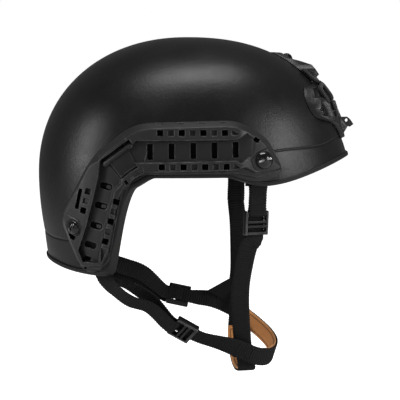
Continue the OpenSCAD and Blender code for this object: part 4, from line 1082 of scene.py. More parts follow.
def slotted_screw(radius, height, seat, length, slot_width, slot_depth, turned):
    """A domed screw with a straight slot in its head, about +Z on the origin."""
    face = head_disc(radius, height, seat, slot_width, slot_depth, turned)
    tip, half_step = seat - length, THREAD_STEP / 2
    profile = [(SHANK_R - 0.5, tip), (SHANK_R, tip + 0.5)]
    profile += [(SHANK_R - THREAD_DEPTH * (k % 2), tip + 0.5 + half_step * k)
                for k in range(1, int((length - 4) / half_step))]
    profile += [(SHANK_R, seat), (radius - 0.5, seat), (radius - 0.05, seat + 0.25), (radius, seat + 0.5)]
    r, z = np.array(profile).T[..., None]
    turn = np.linspace(0, 360, face.shape[1], endpoint=False)
    low = np.stack([r * cosd(turn), r * sind(turn), z + 0 * turn], -1)
    face[..., 2] = np.maximum(face[..., 2], seat + 0.55)
    return capped_tube(np.concatenate([low, face]), [(0, 0, tip), face[-1].mean(0)])


def on_shell(solid, place):
    """A solid built about +Z, set on the shell at a place."""
    base, axes = screw_frame(place)
    points, faces = solid
    return outside_out(points @ axes + base, faces)


def both_sides(solid):
    """A solid together with its mirror image."""
    return joined(solid, mirrored(*solid))


def brought_right(points):
    """The points, those of the left side mirrored to the right."""
    return points * np.where(points[..., 1:2] > 0, (1, -1, 1), (1, 1, 1))


RAIL_SEAT = RAIL_LOW + RAIL_LOBE_H + GAP
STRAP_NUT_STAND, NUT_H = 5.4, 4.0
RAIL_SCREW_LEN = RAIL_SEAT + SHELL_T + STRAP_NUT_STAND + NUT_H + 1
PLATE_LOW = 2 * GAP
PLATE_T = 3.2
PLATE_SEAT = PLATE_LOW + PLATE_T + GAP
PLATE_SCREW_LEN = PLATE_SEAT + SHELL_T + 4 * GAP + NUT_H


# place, head radius, and the width, depth and turn of the slot
RAIL_SCREWS = {"front": (FRONT_SCREW, FRONT_HEAD_R, 1.9, 1.5, 13),
               "rear": (REAR_SCREW, REAR_HEAD_R, 1.3, 1.9, 62)}
PLATE_SCREWS = [(PLATE_SIDE_SCREW, 25), (PLATE_TOP_SCREW, 40)]
RAIL_HEAD_H, PLATE_HEAD_H = 4.2, 2.8


def slot_glint(points, place, width, turned, radius):
    """A painted glint along the slot of a rail screw, on both sides."""
    x, y, z = seen_from_screw(brought_right(points), place).T
    across = np.abs(y * cosd(turned) - x * sind(turned))
    on_head = (z > RAIL_SEAT + 0.6) * (np.hypot(x, y) < radius - 1.4)
    return (1 - ramp(width / 2 - 0.4, width / 2, across)) * on_head


def make_screws():
    """Rail screws, each pair one node, and the three plate screws as one more."""
    for end, (place, radius, width, depth, turned) in RAIL_SCREWS.items():
        screw = slotted_screw(radius, RAIL_HEAD_H, RAIL_SEAT, RAIL_SCREW_LEN, width, depth, turned)
        pair = both_sides(on_shell(screw, place))
        # the slot is marked for a painted glint
        dress(f"rail_{end}_screws", pair, "screw_black", sharp=35,
              marks={"edge": slot_glint(pair[0], place, width, turned, radius)})
    side, top = (on_shell(slotted_screw(PLATE_HEAD_R, PLATE_HEAD_H, PLATE_SEAT, PLATE_SCREW_LEN,
                                        1.1, 1.2, turned), place) for place, turned in PLATE_SCREWS)
    dress("plate_screws", joined(both_sides(side), top), "screw_black", sharp=35)


make_rails()
make_screws()


# Mount plate, drawn as it is seen from the front: y across, then height

# half widths at heights, from the top tab down to the lower edge
PLATE_OUTLINE = [(14.5, 6.2), (13.8, 7.4), (10, 10), (5, 14), (-1, 19.5), (-8, 21.5), (-12.2, 24),
                 (-13.4, 29), (-14.6, 38), (-15.6, 47), (-17.2, 51.4), (-24, 58.5), (-32, 62.8),
                 (-38.5, 63.6), (-43.4, 61), (-45.6, 55), (-47, 47), (-50, 39), (-56, 32), (-61.4, 28.4),
                 (-62.5, 26.5)]
# heights of the block's and the lip's faces over the dome, from the top down
BLOCK_TOP = [(9.2, 3.3), (6.4, 6.6), (3.2, 10.1), (-0.1, 9.8), (-5.4, 8.6), (-8.7, 4.4), (-11.5, 3.8)]
LIP_TOP = [(-40.2, 3.8), (-44.4, 4.8), (-52, 8.4), (-57.7, 3.8), (-61.8, 1.6)]
SOCKET_TOP, SOCKET_LOW, SOCKET_HALF, RIB_W, RIB_H = -13.0, -43.0, 16.0, 5.0, 5.5
BLOCK_HALF = SOCKET_HALF + RIB_W
PLATE_EDGE, WINDOW_FLOOR = 1.4, 0.42
EYELET = [(-51, -28.5), (-56.6, -29), (-60.6, -33.6), (-60.6, -39.2), (-56, -43.4), (-51, -41.5),
          (-49.2, -34)]
SCREW_SEAT_R = 5.4
EMBOSSED = [(-41.5, -17.2), (-48.6, -17.8), (-53.6, -22.4), (-56.6, -26.6), (-48.6, -23.4)]
RIDGE = [(-40.5, -18.6), (-45.4, -24.5), (-47.4, -31.5)]


def over_height(z, drawn):
    """A value between the drawn (height, value) pairs, which run from high to low."""
    drawn = np.asarray(drawn)[::-1]
    return np.interp(z, drawn[:, 0], drawn[:, 1])


def plate_height(y, z, from_edge):
    """Distance off the dome of the plate's front: sheet, bevel, block, ribs, lip and emboss."""
    sheet = PLATE_LOW + PLATE_T
    far = np.abs(y)
    h = PLATE_EDGE + (sheet - PLATE_EDGE) * np.clip(from_edge / 1.1, 0, 1)
    h = h + 0.45 * hump(from_edge, 2.3, 1.0) * (far > 24)
    embossed = polygon_distance(-far, z, EMBOSSED)
    h = h - 0.9 * (1 - ramp(-0.5, 0.4, embossed)) + 0.3 * hump(embossed, 0.9, 0.6)
    h = h + 0.8 * hump(line_distance(-far, z, RIDGE), 0.0, 1.1)
    # the block over the socket, with a chamfered top face and a shallow panel in it
    block = over_height(z, BLOCK_TOP)
    in_block = (1 - ramp(BLOCK_HALF - 0.7, BLOCK_HALF + 0.1, far)) * ramp(-12, -11.4, z) * ramp(9.6, 9.0, z)
    panel = box_distance(y, z, (0, -1.6), 2 * BLOCK_HALF - 9, 6.4, 0, 0.8)
    block = block - 0.6 * (1 - ramp(-0.4, 0.3, panel)) - 1.2 * ramp(BLOCK_HALF - 2.2, BLOCK_HALF, far)
    h = np.where(in_block > 0, h + (np.maximum(block, h) - h) * in_block, h)
    from_rib = np.abs(far - SOCKET_HALF - RIB_W / 2 - 0.3)
    rib = (1 - ramp(RIB_W / 2 - 0.5, RIB_W / 2 + 0.2, from_rib)) * ramp(-44.6, -43.6, z) * ramp(-6, -8, z)
    h = h + (np.maximum(RIB_H, h) - h) * rib
    for step in (-17, -23, -29, -35):
        h = h - 0.7 * rib * hump(z, step, 0.7)
    lip = over_height(z, LIP_TOP) - 0.9 * ramp(BLOCK_HALF + 1, BLOCK_HALF + 3, far)
    in_lip = (1 - ramp(BLOCK_HALF + 2.2, BLOCK_HALF + 3, far)) * ramp(-62.2, -61.4, z) * ramp(-40, -40.8, z)
    h = np.where(in_lip > 0, h + (np.maximum(lip, np.minimum(h, lip + 2)) - h) * in_lip, h)
    # the socket's window goes through to the insert behind it
    middle = (0, (SOCKET_TOP + SOCKET_LOW) / 2)
    window = box_distance(y, z, middle, 2 * SOCKET_HALF, SOCKET_TOP - SOCKET_LOW, 0, 0.6)
    return h + (WINDOW_FLOOR - h) * (1 - ramp(-0.15, 0.35, window))


def plate_eyelets(y, z, h):
    """Raises a rounded ring round each side screw and sinks the seat inside it, and gives where it lies."""
    seen = seen_from_screw(brought_right(in_front(y, z, h)), PLATE_SIDE_SCREW)
    from_screw = np.hypot(seen[..., 0], seen[..., 1])
    inside = np.minimum(polygon_distance(-np.abs(y), z, EYELET), from_screw - SCREW_SEAT_R)
    ring = np.sqrt(np.clip(1 - ((inside - 1.7) / 1.9) ** 2, 0, 1))
    h = h + 3.0 * ring * (inside < 3.6)
    return h + (PLATE_LOW + PLATE_T - 0.1 - h) * (1 - ramp(-0.6, 0.1, inside)), inside


def make_plate(rows=330, cols=176):
    """A height field over the outline, carried on to the brow, with side walls and a plain underside."""
    outline = through(PLATE_OUTLINE, rows)
    z = np.repeat(outline[:, :1], cols, 1)
    y = outline[:, 1:] * np.linspace(-1, 1, cols)
    edge = np.concatenate([outline * (1, -1), outline[::-1]])[:, ::-1]
    h = plate_height(y, z, line_distance(y, z, edge[::3]))
    h, eyelet = plate_eyelets(y, z, h)
    h = PLATE_EDGE + (h - PLATE_EDGE) * ramp(0, 3, steps_from_end(rows))
    top = seat_flat(in_front(y, z, h), PLATE_TOP_SCREW, PLATE_HEAD_R, PLATE_LOW + PLATE_T)
    share = np.linspace(1, -1, 25)
    under_z = np.repeat(outline[:, :1], len(share), 1)
    under_y = outline[:, 1:] * share
    behind = box_distance(under_y, under_z, (0, -28), 34, 32) < 0
    under = in_front(under_y, under_z, np.where(behind, 0.2, PLATE_LOW))
    # the seat inside each eyelet is painted black as painted shade
    dress("mount_plate", capped_tube(np.concatenate([top, under], 1)), "plate_plastic", sharp=50,
          marks=top_marks(len(share), edge=convexity(h), deep=ramp(0.3, -0.5, eyelet)))


# Elastic cords and their hooks

BUNGEE_R = 2.0
BUNGEE_LIFT = PLATE_SEAT + BUNGEE_R + 0.4
BUNGEE_ROUTE = [(-23.6, -1, -3.8), (-24.8, -4.5, -3.7), (-26.6, -8, -3.4), (-28.6, -11, -2.6),
                (-30.8, -13.8, 0), (-32.4, -17, 0.6), (-34.6, -20.5, 1.1), (-36.6, -24, 1.6),
                (-38.6, -27.5, 1.3)]
BUNGEE_END = [(-30.8, -13.8, 0), (-37, -15.4, 0.1), (-42.6, -17, 0.1), (-45.6, -20.5, 0.1),
              (-46.4, -25, 0.1), (-47, -29.5, 0.1)]
HOOK_TOP, HOOK_LOW = (-39, -28.2, 1.3), (-45.6, -42, 1.2)


def cord_line(points, count):
    """A smooth line over the brow through places given as y, z and height over the lying cord."""
    points = np.asarray(points, float)
    return through(in_front(points[:, 0], points[:, 1], BUNGEE_LIFT + points[:, 2]), count)


def braided(line, radius):
    """A cord whose cover is braided: two families of strands cross over its surface."""
    around = 40
    along = lengths_along(line)[:, None]
    turn = np.linspace(0, 2 * math.pi, around, endpoint=False)[None]
    strands = np.sin(5 * turn + along * 2.3) * np.sin(5 * turn - along * 2.3)
    taper = 0.75 + 0.25 * ramp(0, 1.5, np.minimum(along, along[-1] - along))
    solid = tube_solid(line, (radius - 0.12 + 0.14 * strands) * taper, around)
    # the raised strands are marked to be painted paler: a painted highlight
    marks = {"edge": np.clip(strands, 0, 1), "along": np.repeat(along, around, 1),
             "across": np.repeat(turn * radius, len(line), 0)}
    return solid, {mark: np.append(values.ravel(), [0, 0]) for mark, values in marks.items()}


KNOT_AT, KNOT_R, KNOT_TURN, KNOT_RISE = 92, 1.5, 300, 1.6
HOOK_R, PEG_AT = 2.05, 63


def make_cords():
    """Each side's cord: its two strands and the knot that joins them."""
    long_line, short_line = cord_line(BUNGEE_ROUTE, 190), cord_line(BUNGEE_END, 120)
    turn = np.linspace(0, KNOT_TURN, 40)[:, None]
    side, up, out = axes_on(-22.0, -14.0)
    knot = long_line[KNOT_AT] + KNOT_R * (cosd(turn) * side + sind(turn) * out)
    knot = knot + (turn / KNOT_TURN - 0.5) * KNOT_RISE * up
    parts = [braided(line, radius)
             for line, radius in ((long_line, BUNGEE_R), (short_line, BUNGEE_R), (knot, 1.1))]
    marks = {mark: np.concatenate([part[1][mark] for part in parts]) for mark in ("edge", "along", "across")}
    dress_pair("bungee", joined(*(part[0] for part in parts)), "elastic_cord", sharp=None, marks=marks)


def make_hooks():
    """The moulded hook at the end of each cord: a ribbed grip that thins to its tip, and the peg under it."""
    line = cord_line([HOOK_TOP, HOOK_LOW], 90)
    share = np.linspace(0, 1, 90)
    grip = ramp(0.02, 0.1, share) * (1 - ramp(0.5, 0.56, share))
    radius = HOOK_R + 0.5 * grip - 0.25 * ramp(0.56, 0.75, share)
    radius = radius - 0.3 * sum(hump(share, rib, 0.02) for rib in (0.16, 0.26, 0.36))
    radius = radius * np.sqrt(np.clip(1 - ((share - 0.5) * 2) ** 24, 0.05, 1))
    peg_top = line[PEG_AT]
    foot = in_front(peg_top[1], peg_top[2], PLATE_SEAT + GAP)
    down = np.linspace(0, 1, 14)
    peg = tube_solid(peg_top + (foot - peg_top) * down[:, None], 1.5 - 0.3 * hump(down, 0.55, 0.2), 20)
    dress_pair("bungee_hook", joined(tube_solid(line, radius, 32), peg), "hook_plastic")


make_plate()
make_cords()
make_hooks()
refinish("insert_metal", "socket_insert")
refinish("eye_metal", "lanyard_bracket")


# Chin harness, along the routes of the solids

FRONT_BAR_X, BAR_Y, BAR_R, STRAP_LEAN = 4.0, -19.5, 1.5, 10.0
LOOP_R = BAR_R + GAP + WEB_T
BAR_Z = -(SHELL_T + TRIM_T + 2 * GAP + LOOP_R + 2.4)
REAR_FRAME = (-138.0, -155.0)
RIGHT_DROP, LEFT_DROP = 26.0, 20.0
STRAP_BACK = -(1.6 + GAP + WEB_T / 2 + 0.2)
LEFT = np.array([1.0, -1.0, 1.0])


def on_front_strap(p):
    """A place in the leaning frame of the right front bar: along the bar, up the strap and out of it."""
    c, s = cosd(STRAP_LEAN), sind(STRAP_LEAN)
    local = np.array([FRONT_BAR_X + p[0], BAR_Y + p[1] * c - p[2] * s, BAR_Z + p[1] * s + p[2] * c])
    return dome(*FRONT_SCREW) + local @ axes_on(*FRONT_SCREW)


def lock_axes(up, out):
    """Across, up and out of a ladder lock that hangs along up."""
    way = unit(np.cross(up, out))
    return np.stack([way, unit(np.asarray(up, float)), unit(np.cross(way, up))])


RIGHT_LOCK = (np.array([-21.8, -62.5, -224.6]), lock_axes([-0.85, -0.1, 0.5], [-0.32, -0.77, -0.55]))
LEFT_LOCK = (np.array([-17.5, 62, -214.0]), lock_axes([-0.96, 0.1, 0.2], [-0.12, 0.68, -0.7]))


def at_lock(lock, p):
    """A place given in a lock's own axes: across, up and out."""
    return lock[0] + np.asarray(p, float) @ lock[1]


def at_rear_bar(p):
    """A place given from the middle of the right rear bracket's bar: along it, up and out."""
    return dome(*REAR_FRAME) + np.array([p[0], BAR_Y + p[1], BAR_Z + p[2]]) @ axes_on(*REAR_FRAME)


FRONT_WAY = axes_on(*FRONT_SCREW)[0]
# each route goes through the middles of the webbing, and its ways point across the webbing there
FRONT_ROUTE = (
    [on_front_strap((0, y - RIGHT_DROP, STRAP_BACK)) for y in (-3.4, -15, -22.5)]
    + [(42, -80, -153), (38.5, -75, -170), (36.5, -66.5, -191), (37.5, -56.5, -214), (40, -46.7, -236),
       (41, -43.3, -243.5), (42.5, -42.3, -252), (44.2, -41.5, -261), (45.2, -38, -268),
       (44.5, -28, -270.8), (43.5, -14, -270), (42.8, 2, -265.5), (42.3, 16.5, -257), (43, 27.5, -246),
       (44.2, 33.8, -237), (45, 37.4, -229.5), (45.4, 41.3, -221), (45.6, 44.6, -212.5),
       (46.4, 52.2, -203.5), (49, 62.8, -189), (50, 73, -168), (50, 80, -146)]
    + [on_front_strap((0, -LEFT_DROP - 10, -0.3)) * LEFT, on_front_strap((0, -LEFT_DROP - 0.1, 0)) * LEFT])
FRONT_WAYS = (
    [FRONT_WAY] * 3
    + [(1, 0.15, -0.12), (1, 0.1, -0.08), (1, 0.1, 0), (1, 0.05, 0.04), (1, 0.1, 0.02), (1, 0.15, 0),
       (1, 0.2, 0), (1, 0.2, 0), (1, 0.1, 0.02), (1, 0, 0.02), (1, 0, 0), (1, 0, 0), (1, 0, 0),
       (1, -0.05, 0), (1, -0.15, 0), (1, -0.35, 0.1), (1, -0.44, 0.12), (1, -0.44, 0.12),
       (1, -0.3, 0.12), (1, -0.2, 0.1), (1, -0.1, 0.06), (1, -0.1, 0.02)]
    + [FRONT_WAY * LEFT] * 2)
LOCK_YS = (-7, -14, -21)
CHIN_ROUTE = (
    [at_lock(RIGHT_LOCK, (0, y, STRAP_BACK)) for y in LOCK_YS]
    + [(5, -56.4, -237), (18, -53.6, -241), (30, -50.6, -245.2), (41, -47.6, -250.3), (54, -42, -256),
       (65, -32, -258.5), (72.5, -17, -257.5), (75, 0, -254), (72, 17, -248.5), (63, 31, -240.5),
       (51.5, 41.5, -232), (41, 48.7, -225.5), (31, 51.8, -220.8), (21, 54.3, -218), (10, 57.5, -217)]
    + [at_lock(LEFT_LOCK, (0, y, STRAP_BACK)) for y in LOCK_YS[::-1]])
CHIN_WAYS = (
    [RIGHT_LOCK[1][0]] * 3
    + [(0.27, -0.64, 0.7), (0.18, -0.54, 0.8), (0.1, -0.32, 0.93), (0.05, -0.06, 1), (0.1, 0, 1),
       (0.2, -0.05, 1), (0.3, -0.05, 1), (0.35, 0, 1), (0.25, 0.05, 1), (0.15, 0.05, 1), (0.05, 0.05, 1),
       (0, 0.1, 1), (0, 0.25, 1), (0.05, 0.45, 0.9), (0.1, 0.6, 0.8)]
    + [-LEFT_LOCK[1][0]] * 3)
WRAP_R = BAR_R + GAP + WEB_T / 2
REAR_WRAP = ([at_rear_bar((0, -6, WRAP_R))]
             + [at_rear_bar((0, WRAP_R * sind(t), WRAP_R * cosd(t))) for t in range(0, 181, 45)]
             + [at_rear_bar((0, -6, -WRAP_R))])
REAR_WAY = axes_on(*REAR_FRAME)[0]
FRONT_OF_BAR = LOCK_BAR_R + GAP + WEB_T / 2


def rear_loop(lock, side, lean, front, back, front_ways, back_ways):
    """Route and ways of a rear loop: from the lock's bar up the outside, round the bracket's bar and back.

    Its last stretch lies on the back of the chin band, where it is sewn down.
    """
    way = lock[1][0] * side
    flip = np.array([1.0, side, 1.0])
    on_band = STRAP_BACK - WEB_T - 0.1
    route = [at_lock(lock, (0, -FRONT_OF_BAR * sind(t), FRONT_OF_BAR * cosd(t))) for t in (80, 40, 0)]
    route += [at_lock(lock, (0, 6, 1.7))] + front + [p * flip for p in REAR_WRAP] + back
    route += [at_lock(lock, (0, *p))
              for p in ((6, lean), (-3, STRAP_BACK - 0.6), (-7, on_band), (-13, on_band))]
    ways = [way] * 4 + front_ways + [REAR_WAY * flip] * len(REAR_WRAP) + back_ways + [way] * 4
    return route, ways


def stitches(path, rows):
    """Stitches in rows, each given by its two ends on a strap (along, across) and the face it lies on."""
    return [stitch for start, end, side in rows
            for stitch in stitch_row(path, start, end, lift=side * (WEB_T / 2 + 0.05))]


def strap(node, route, ways, rows=(), body="harness"):
    """A length of webbing on its route, with rows of stitches."""
    path = ribbon_path(route, ways)
    solid, marks = ribbon_solid(path, WEB_W, WEB_T)
    solid, marks = sewn(solid, marks, stitches(path, rows))
    return dress(node, solid, "webbing", body, sharp=None, marks=marks)


def sewn_box(start, end, half, side):
    """Ends of the stitch rows of a sewn box with a cross in it, between two places along a ribbon."""
    corners = [(start, -half), (end, -half), (end, half), (start, half)]
    rows = [(corners[k], corners[(k + 1) % 4], side) for k in range(4)]
    return rows + [(corners[0], corners[2], side), (corners[1], corners[3], side)]


# half the width of a sewn box, and of the two seams that run on from it
BOX_HALF, SEAM_HALF = 6, 6.6
# outer and inner strand of each rear loop, and their ways
RIGHT_STRANDS = ([(-43, -69.3, -207.3), (-60, -73.5, -200.6), (-73.8, -74, -190)],
                 [(-73.5, -66, -182.5), (-60.5, -68, -188.2), (-43, -64.8, -200)],
                 [(0.38, -0.68, 0.6), (0.4, -0.66, 0.58), (0.58, -0.7, 0.35)],
                 [(0.6, -0.75, 0.25), (0.35, -0.8, 0.45), (0.4, -0.65, 0.65)])
LEFT_STRANDS = ([(-40, 70.5, -201.5), (-58, 75, -194.5), (-75, 75.5, -187.5)],
                [(-76, 68.5, -182), (-60, 68.5, -187.8), (-42, 64.5, -194.5)],
                [(0.3, 0.45, 0.82), (0.4, 0.4, 0.8), (0.65, 0.55, 0.45)],
                [(0.72, 0.55, 0.35), (0.45, 0.35, 0.8), (0.3, 0.45, 0.82)])


def make_straps():
    """The front strap, the chin band and the two rear loops, which run between helmet and harness on no body.
    """
    strap("front_strap", FRONT_ROUTE, FRONT_WAYS, sewn_box(3, 15, BOX_HALF, 1))
    seams = [((30, u), (52, u), 1) for u in (-SEAM_HALF, SEAM_HALF)]
    strap("chin_band", CHIN_ROUTE, CHIN_WAYS, sewn_box(57, 71, BOX_HALF, 1) + seams)
    for name, lock, side, lean, strands in (("right", RIGHT_LOCK, 1, -2.6, RIGHT_STRANDS),
                                            ("left", LEFT_LOCK, -1, -3.6, LEFT_STRANDS)):
        piece = strap(name + "_rear_loop", *rear_loop(lock, side, lean, *strands), body=None)
        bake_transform(piece)


def make_front_loops():
    """The right loop runs round both bars; the left one round its bar, with both ends sewn to the strap."""
    pinch = (WEB_T + 0.2) / 2
    face = [(-y, pinch) for y in (20, 16, 12, 8)]
    back = [(y, -z) for y, z in face[::-1]]
    bar = [(WRAP_R * sind(t), WRAP_R * cosd(t)) for t in range(-35, 216, 36)]
    lock_bar = [(-RIGHT_DROP - FRONT_OF_BAR * sind(t), -FRONT_OF_BAR * cosd(t)) for t in range(-35, 216, 36)]
    right = [on_front_strap((0, y, z)) for y, z in face + bar + back + lock_bar]
    line = through(right, 260, closed=True)[:-1]
    ahead = unit(np.roll(line, -1, axis=0) - np.roll(line, 1, axis=0))
    out = unit(np.cross(ahead, FRONT_WAY))
    path = (lengths_along(line), line, unit(np.cross(out, ahead)), out)
    solid, marks = ribbon_solid(path, WEB_W, WEB_T, closed=True)
    rows = sewn_box(1, 13, BOX_HALF, 1 if np.dot(out[5], axes_on(*FRONT_SCREW)[2]) > 0 else -1)
    solid, marks = sewn(solid, marks, stitches(path, rows))
    dress("right_front_loop", solid, "webbing", "harness", sharp=None, marks=marks)
    lap = WEB_T + 0.05
    sewn_end = [(-LEFT_DROP - y, lap) for y in (9.5, 5, 0)]
    left = sewn_end + face[1:] + bar + back[:-1] + [(y, -z) for y, z in sewn_end[::-1]]
    strap("left_front_loop", [on_front_strap((0, y, z)) * LEFT for y, z in left],
          [FRONT_WAY * LEFT] * len(left), sewn_box(1, 9, BOX_HALF, -1))


# the lining's seams: distance from its middle line and from its ends, and the thread's radius
SEAM_ROW, SEAM_END, SEAM_R = 5.4, 4, 0.42


def lining(node, route, ways, ends):
    """A leather strip on the inside of a strap between two of its points, stitched along its edges."""
    along, centre, across, face = ribbon_path(route, ways)
    first, last = (int(np.linalg.norm(centre - end, axis=1).argmin()) for end in ends)
    picked = slice(first, last + 1)
    inner = centre[picked] - face[picked] * ((WEB_T + LEATHER_T) / 2 + GAP)
    path = (along[picked] - along[picked][0], inner, across[picked], face[picked])
    solid, marks = ribbon_solid(path, WEB_W - 0.6, LEATHER_T, None, 0.0, 15)
    marks["edge"] = ramp(0.92, 1.0, np.abs(marks["across"]) / (WEB_W / 2))
    far_end = path[0][-1] - SEAM_END
    seams = [((SEAM_END, u), (far_end, u), 2.2) for u in (-SEAM_ROW, SEAM_ROW)]
    seams += [((s, -SEAM_ROW), (s, SEAM_ROW), 1.9) for s in (SEAM_END, far_end)]
    threads = [stitch for start, end, pitch in seams
               for stitch in stitch_row(path, start, end, pitch, -(LEATHER_T / 2 + 0.05), SEAM_R)]
    solid, marks = sewn(solid, marks, threads)
    dress(node, solid, "chin_leather", "harness", sharp=None, marks=marks)


def rounded_bar(start, end, half_u, half_v, u, v, around=24, rings=21):
    """A bar between two points with a superelliptic section and softened ends."""
    turn = np.linspace(0, 360, around, endpoint=False)
    c, s = cosd(turn), sind(turn)
    a = np.sign(c) * np.abs(c) ** 0.6 * half_u
    b = np.sign(s) * np.abs(s) ** 0.6 * half_v
    share = np.concatenate([[0, 0.012, 0.03], np.linspace(0.06, 0.94, rings - 6), [0.97, 0.988, 1]])
    size = np.concatenate([[0.72, 0.9, 0.98], np.ones(rings - 6), [0.98, 0.9, 0.72]])
    middle = start + (end - start) * share[:, None]
    ring = a[:, None] * u + b[:, None] * v
    return capped_tube(middle[:, None] + size[:, None, None] * ring[None])


LOCK_FOOT, LOCK_REACH = LOCK_BAR_R - LOCK_SIZE, WEB_W / 2 + 1.4
# how far the walls' middle lies behind the bars, and their half sizes across and out
LOCK_WALL_BACK, LOCK_WALL = 1.5, (1.25, 3.3)
# place up the lock of each cross bar, and its half sizes up and out
LOCK_BARS = [(0, 1.4, 1.4), (-8, 1.3, 1.15), (-12, 1.3, 1.15), (LOCK_FOOT + 1.6, 1.5, 1.3)]


def ladder_lock(node, origin, axes):
    """Two deep side walls with four cross bars between them; the lowest bar is a flat lip to pull on."""
    side, up, out = axes
    solids = []
    for x in (-LOCK_REACH, LOCK_REACH):
        wall = origin + x * side - LOCK_WALL_BACK * out
        top, foot = wall + (LOCK_BAR_R - 0.05) * up, wall + (LOCK_FOOT + 0.05) * up
        solids.append(rounded_bar(top, foot, *LOCK_WALL, side, out))
    half_bar = (LOCK_REACH - 0.4) * side
    for y, half_up, half_out in LOCK_BARS:
        middle = origin + y * up
        solids.append(rounded_bar(middle - half_bar, middle + half_bar, half_up, half_out, up, out))
    solid = joined(*solids)
    # the outward faces of the bars and walls are marked for the paler edge colour: a painted highlight
    edge = ramp(1.0, 1.5, (solid[0] - origin) @ out)
    dress(node, solid, "lock_plastic", node + "_body", sharp=45, marks={"edge": edge})


def make_locks():
    """The three ladder locks; the front one lies in the plane of its leaning strap."""
    c, s = cosd(STRAP_LEAN), sind(STRAP_LEAN)
    side, up, out = axes_on(*FRONT_SCREW)
    leaning = np.stack([side, c * up + s * out, c * out - s * up])
    ladder_lock("right_front_lock", on_front_strap((0, -RIGHT_DROP, 0)), leaning)
    ladder_lock("right_rear_lock", *RIGHT_LOCK)
    ladder_lock("left_rear_lock", *LEFT_LOCK)


def make_gusset():
    """A small triangle of webbing sewn where the far chin band meets the far front strap."""
    corners = np.array([(18, 55, -210.5), (41, 50, -197), (41, 48, -222)])
    out = unit(np.cross(corners[1] - corners[0], corners[2] - corners[0]))
    share = np.linspace(0, 1, 13)
    near, far = (corners[0] + (corners[k] - corners[0]) * share[:, None] for k in (1, 2))
    face = near[:, None] + (far - near)[:, None] * share[None, :, None]
    rings = np.concatenate([face + 0.6 * out, face[:, ::-1] - 0.6 * out], 1)
    make_piece("left_gusset", capped_tube(rings), "webbing", "harness")


make_straps()
make_front_loops()
lining("chin_lining", CHIN_ROUTE, CHIN_WAYS, ((59.7, -37.6, -257.5), (51.5, 41.5, -232)))
lining("under_chin_lining", FRONT_ROUTE, FRONT_WAYS, ((45.2, -38, -268), (43.6, 30.8, -241.5)))
make_locks()
make_gusset()
refinish("bracket_metal", "right_front_bracket", "left_front_bracket", "right_rear_bracket",
         "left_rear_bracket")
refinish("nut_steel", "rail_front_nuts", "rail_rear_nuts", "plate_nuts")


# Pads: foam in brushed covers, swollen by a short cloth simulation, with a sewn cord round their edge

PAD_SEAT = -SHELL_T - 3 * GAP
CROWN_PAD_R = 46.0
PAD_SIDES = 96
# shares of the outline and of the thickness, from the back to the face
PAD_RINGS = [(0.3, 0.0), (0.6, 0.0), (0.88, 0.0), (0.95, 0.06), (0.975, 0.22), (0.98, 0.45), (0.955, 0.66),
             (0.88, 0.83), (0.76, 0.91), (0.58, 0.95), (0.34, 0.965), (0.14, 0.97)]
HELD_REACH = 4.0
# the cloth's frames, the remesh's voxel, the pressure and the most that a point may move
SWELL_FRAMES, SWELL_VOXEL, SWELL_PRESSURE, SWELL_CAP = 20, 4.5, 4.0, 1.6
PIPING_R = 0.8
TURN = np.arange(PAD_SIDES) * 360 / PAD_SIDES


def square_round(value):
    """A cosine or sine drawn towards a square's: its size to a power below one, with its sign."""
    return np.sign(value) * np.abs(value) ** 0.62


def wall_pad_place(azimuth, z, half_azimuth, half_z, seat):
    """A pad on the wall: its place at a share of its rounded outline and a depth inward from its seat."""
    def place(share, turn, depth):
        return dome(azimuth + half_azimuth * share * square_round(cosd(turn)),
                    z + half_z * share * square_round(sind(turn)), seat - depth)
    return place


def crown_pad_place(share, turn, depth):
    """The round crown pad: a place in plan, set on the dome's layer that lies depth under the pad's seat."""
    x, y = CROWN_PAD_R * share * cosd(turn), CROWN_PAD_R * share * sind(turn)
    azimuth = np.degrees(np.arctan2(y, x - MID_X))
    off = PAD_SEAT - depth
    n = RISE_N + RISE_SHIFT * cosd(azimuth)
    reach = np.minimum(1, np.hypot(x - MID_X, y) / plan_radius(azimuth, off))
    return np.stack(np.broadcast_arrays(x, y, BELT_Z + (CROWN_H + off) * (1 - reach ** n) ** (1 / n)), -1)


def places_of(thing):
    """The points of an object's mesh, in millimetres."""
    found = np.empty(len(thing.data.vertices) * 3, np.float32)
    thing.data.vertices.foreach_get("co", found)
    return found.reshape(-1, 3) / MM


def swollen(points, faces, pinned):
    """The solid remeshed and blown up by Blender's cloth, its back held and its moves capped."""
    mesh = bpy.data.meshes.new("swelling")
    mesh.from_pydata([tuple(p) for p in points * MM], [],
                     [tuple(int(v) for v in f) for part in faces for f in part])
    blank = put_in_scene("swelling", mesh)
    scene = bpy.context.scene
    remesh = blank.modifiers.new("remesh", "REMESH")
    remesh.mode, remesh.voxel_size = "VOXEL", SWELL_VOXEL * MM
    graph = bpy.context.evaluated_depsgraph_get()
    blank.data = bpy.data.meshes.new_from_object(blank.evaluated_get(graph))
    blank.modifiers.clear()
    start = places_of(blank)
    held = blank.vertex_groups.new(name="held")
    held.add([int(k) for k in np.nonzero(pinned(start))[0]], 1.0, "REPLACE")
    swelling = blank.modifiers.new("cloth", "CLOTH")
    settings = swelling.settings
    settings.vertex_group_mass = "held"
    settings.use_pressure, settings.uniform_pressure_force = True, SWELL_PRESSURE
    settings.effector_weights.gravity = 0
    settings.quality = 6
    swelling.point_cache.frame_start, swelling.point_cache.frame_end = 1, SWELL_FRAMES
    for frame_number in range(1, SWELL_FRAMES + 1):
        scene.frame_set(frame_number)
    graph = bpy.context.evaluated_depsgraph_get()
    move = places_of(blank.evaluated_get(graph)) - start
    length = np.maximum(np.linalg.norm(move, axis=1, keepdims=True), 1e-9)
    shape = start + move * np.minimum(1, SWELL_CAP / length)
    found = [f.vertices[:] for f in blank.data.polygons]
    scene.frame_set(1)
    bpy.data.objects.remove(blank)
    return shape, [np.array(alike) for n in (3, 4) if (alike := [f for f in found if len(f) == n])]


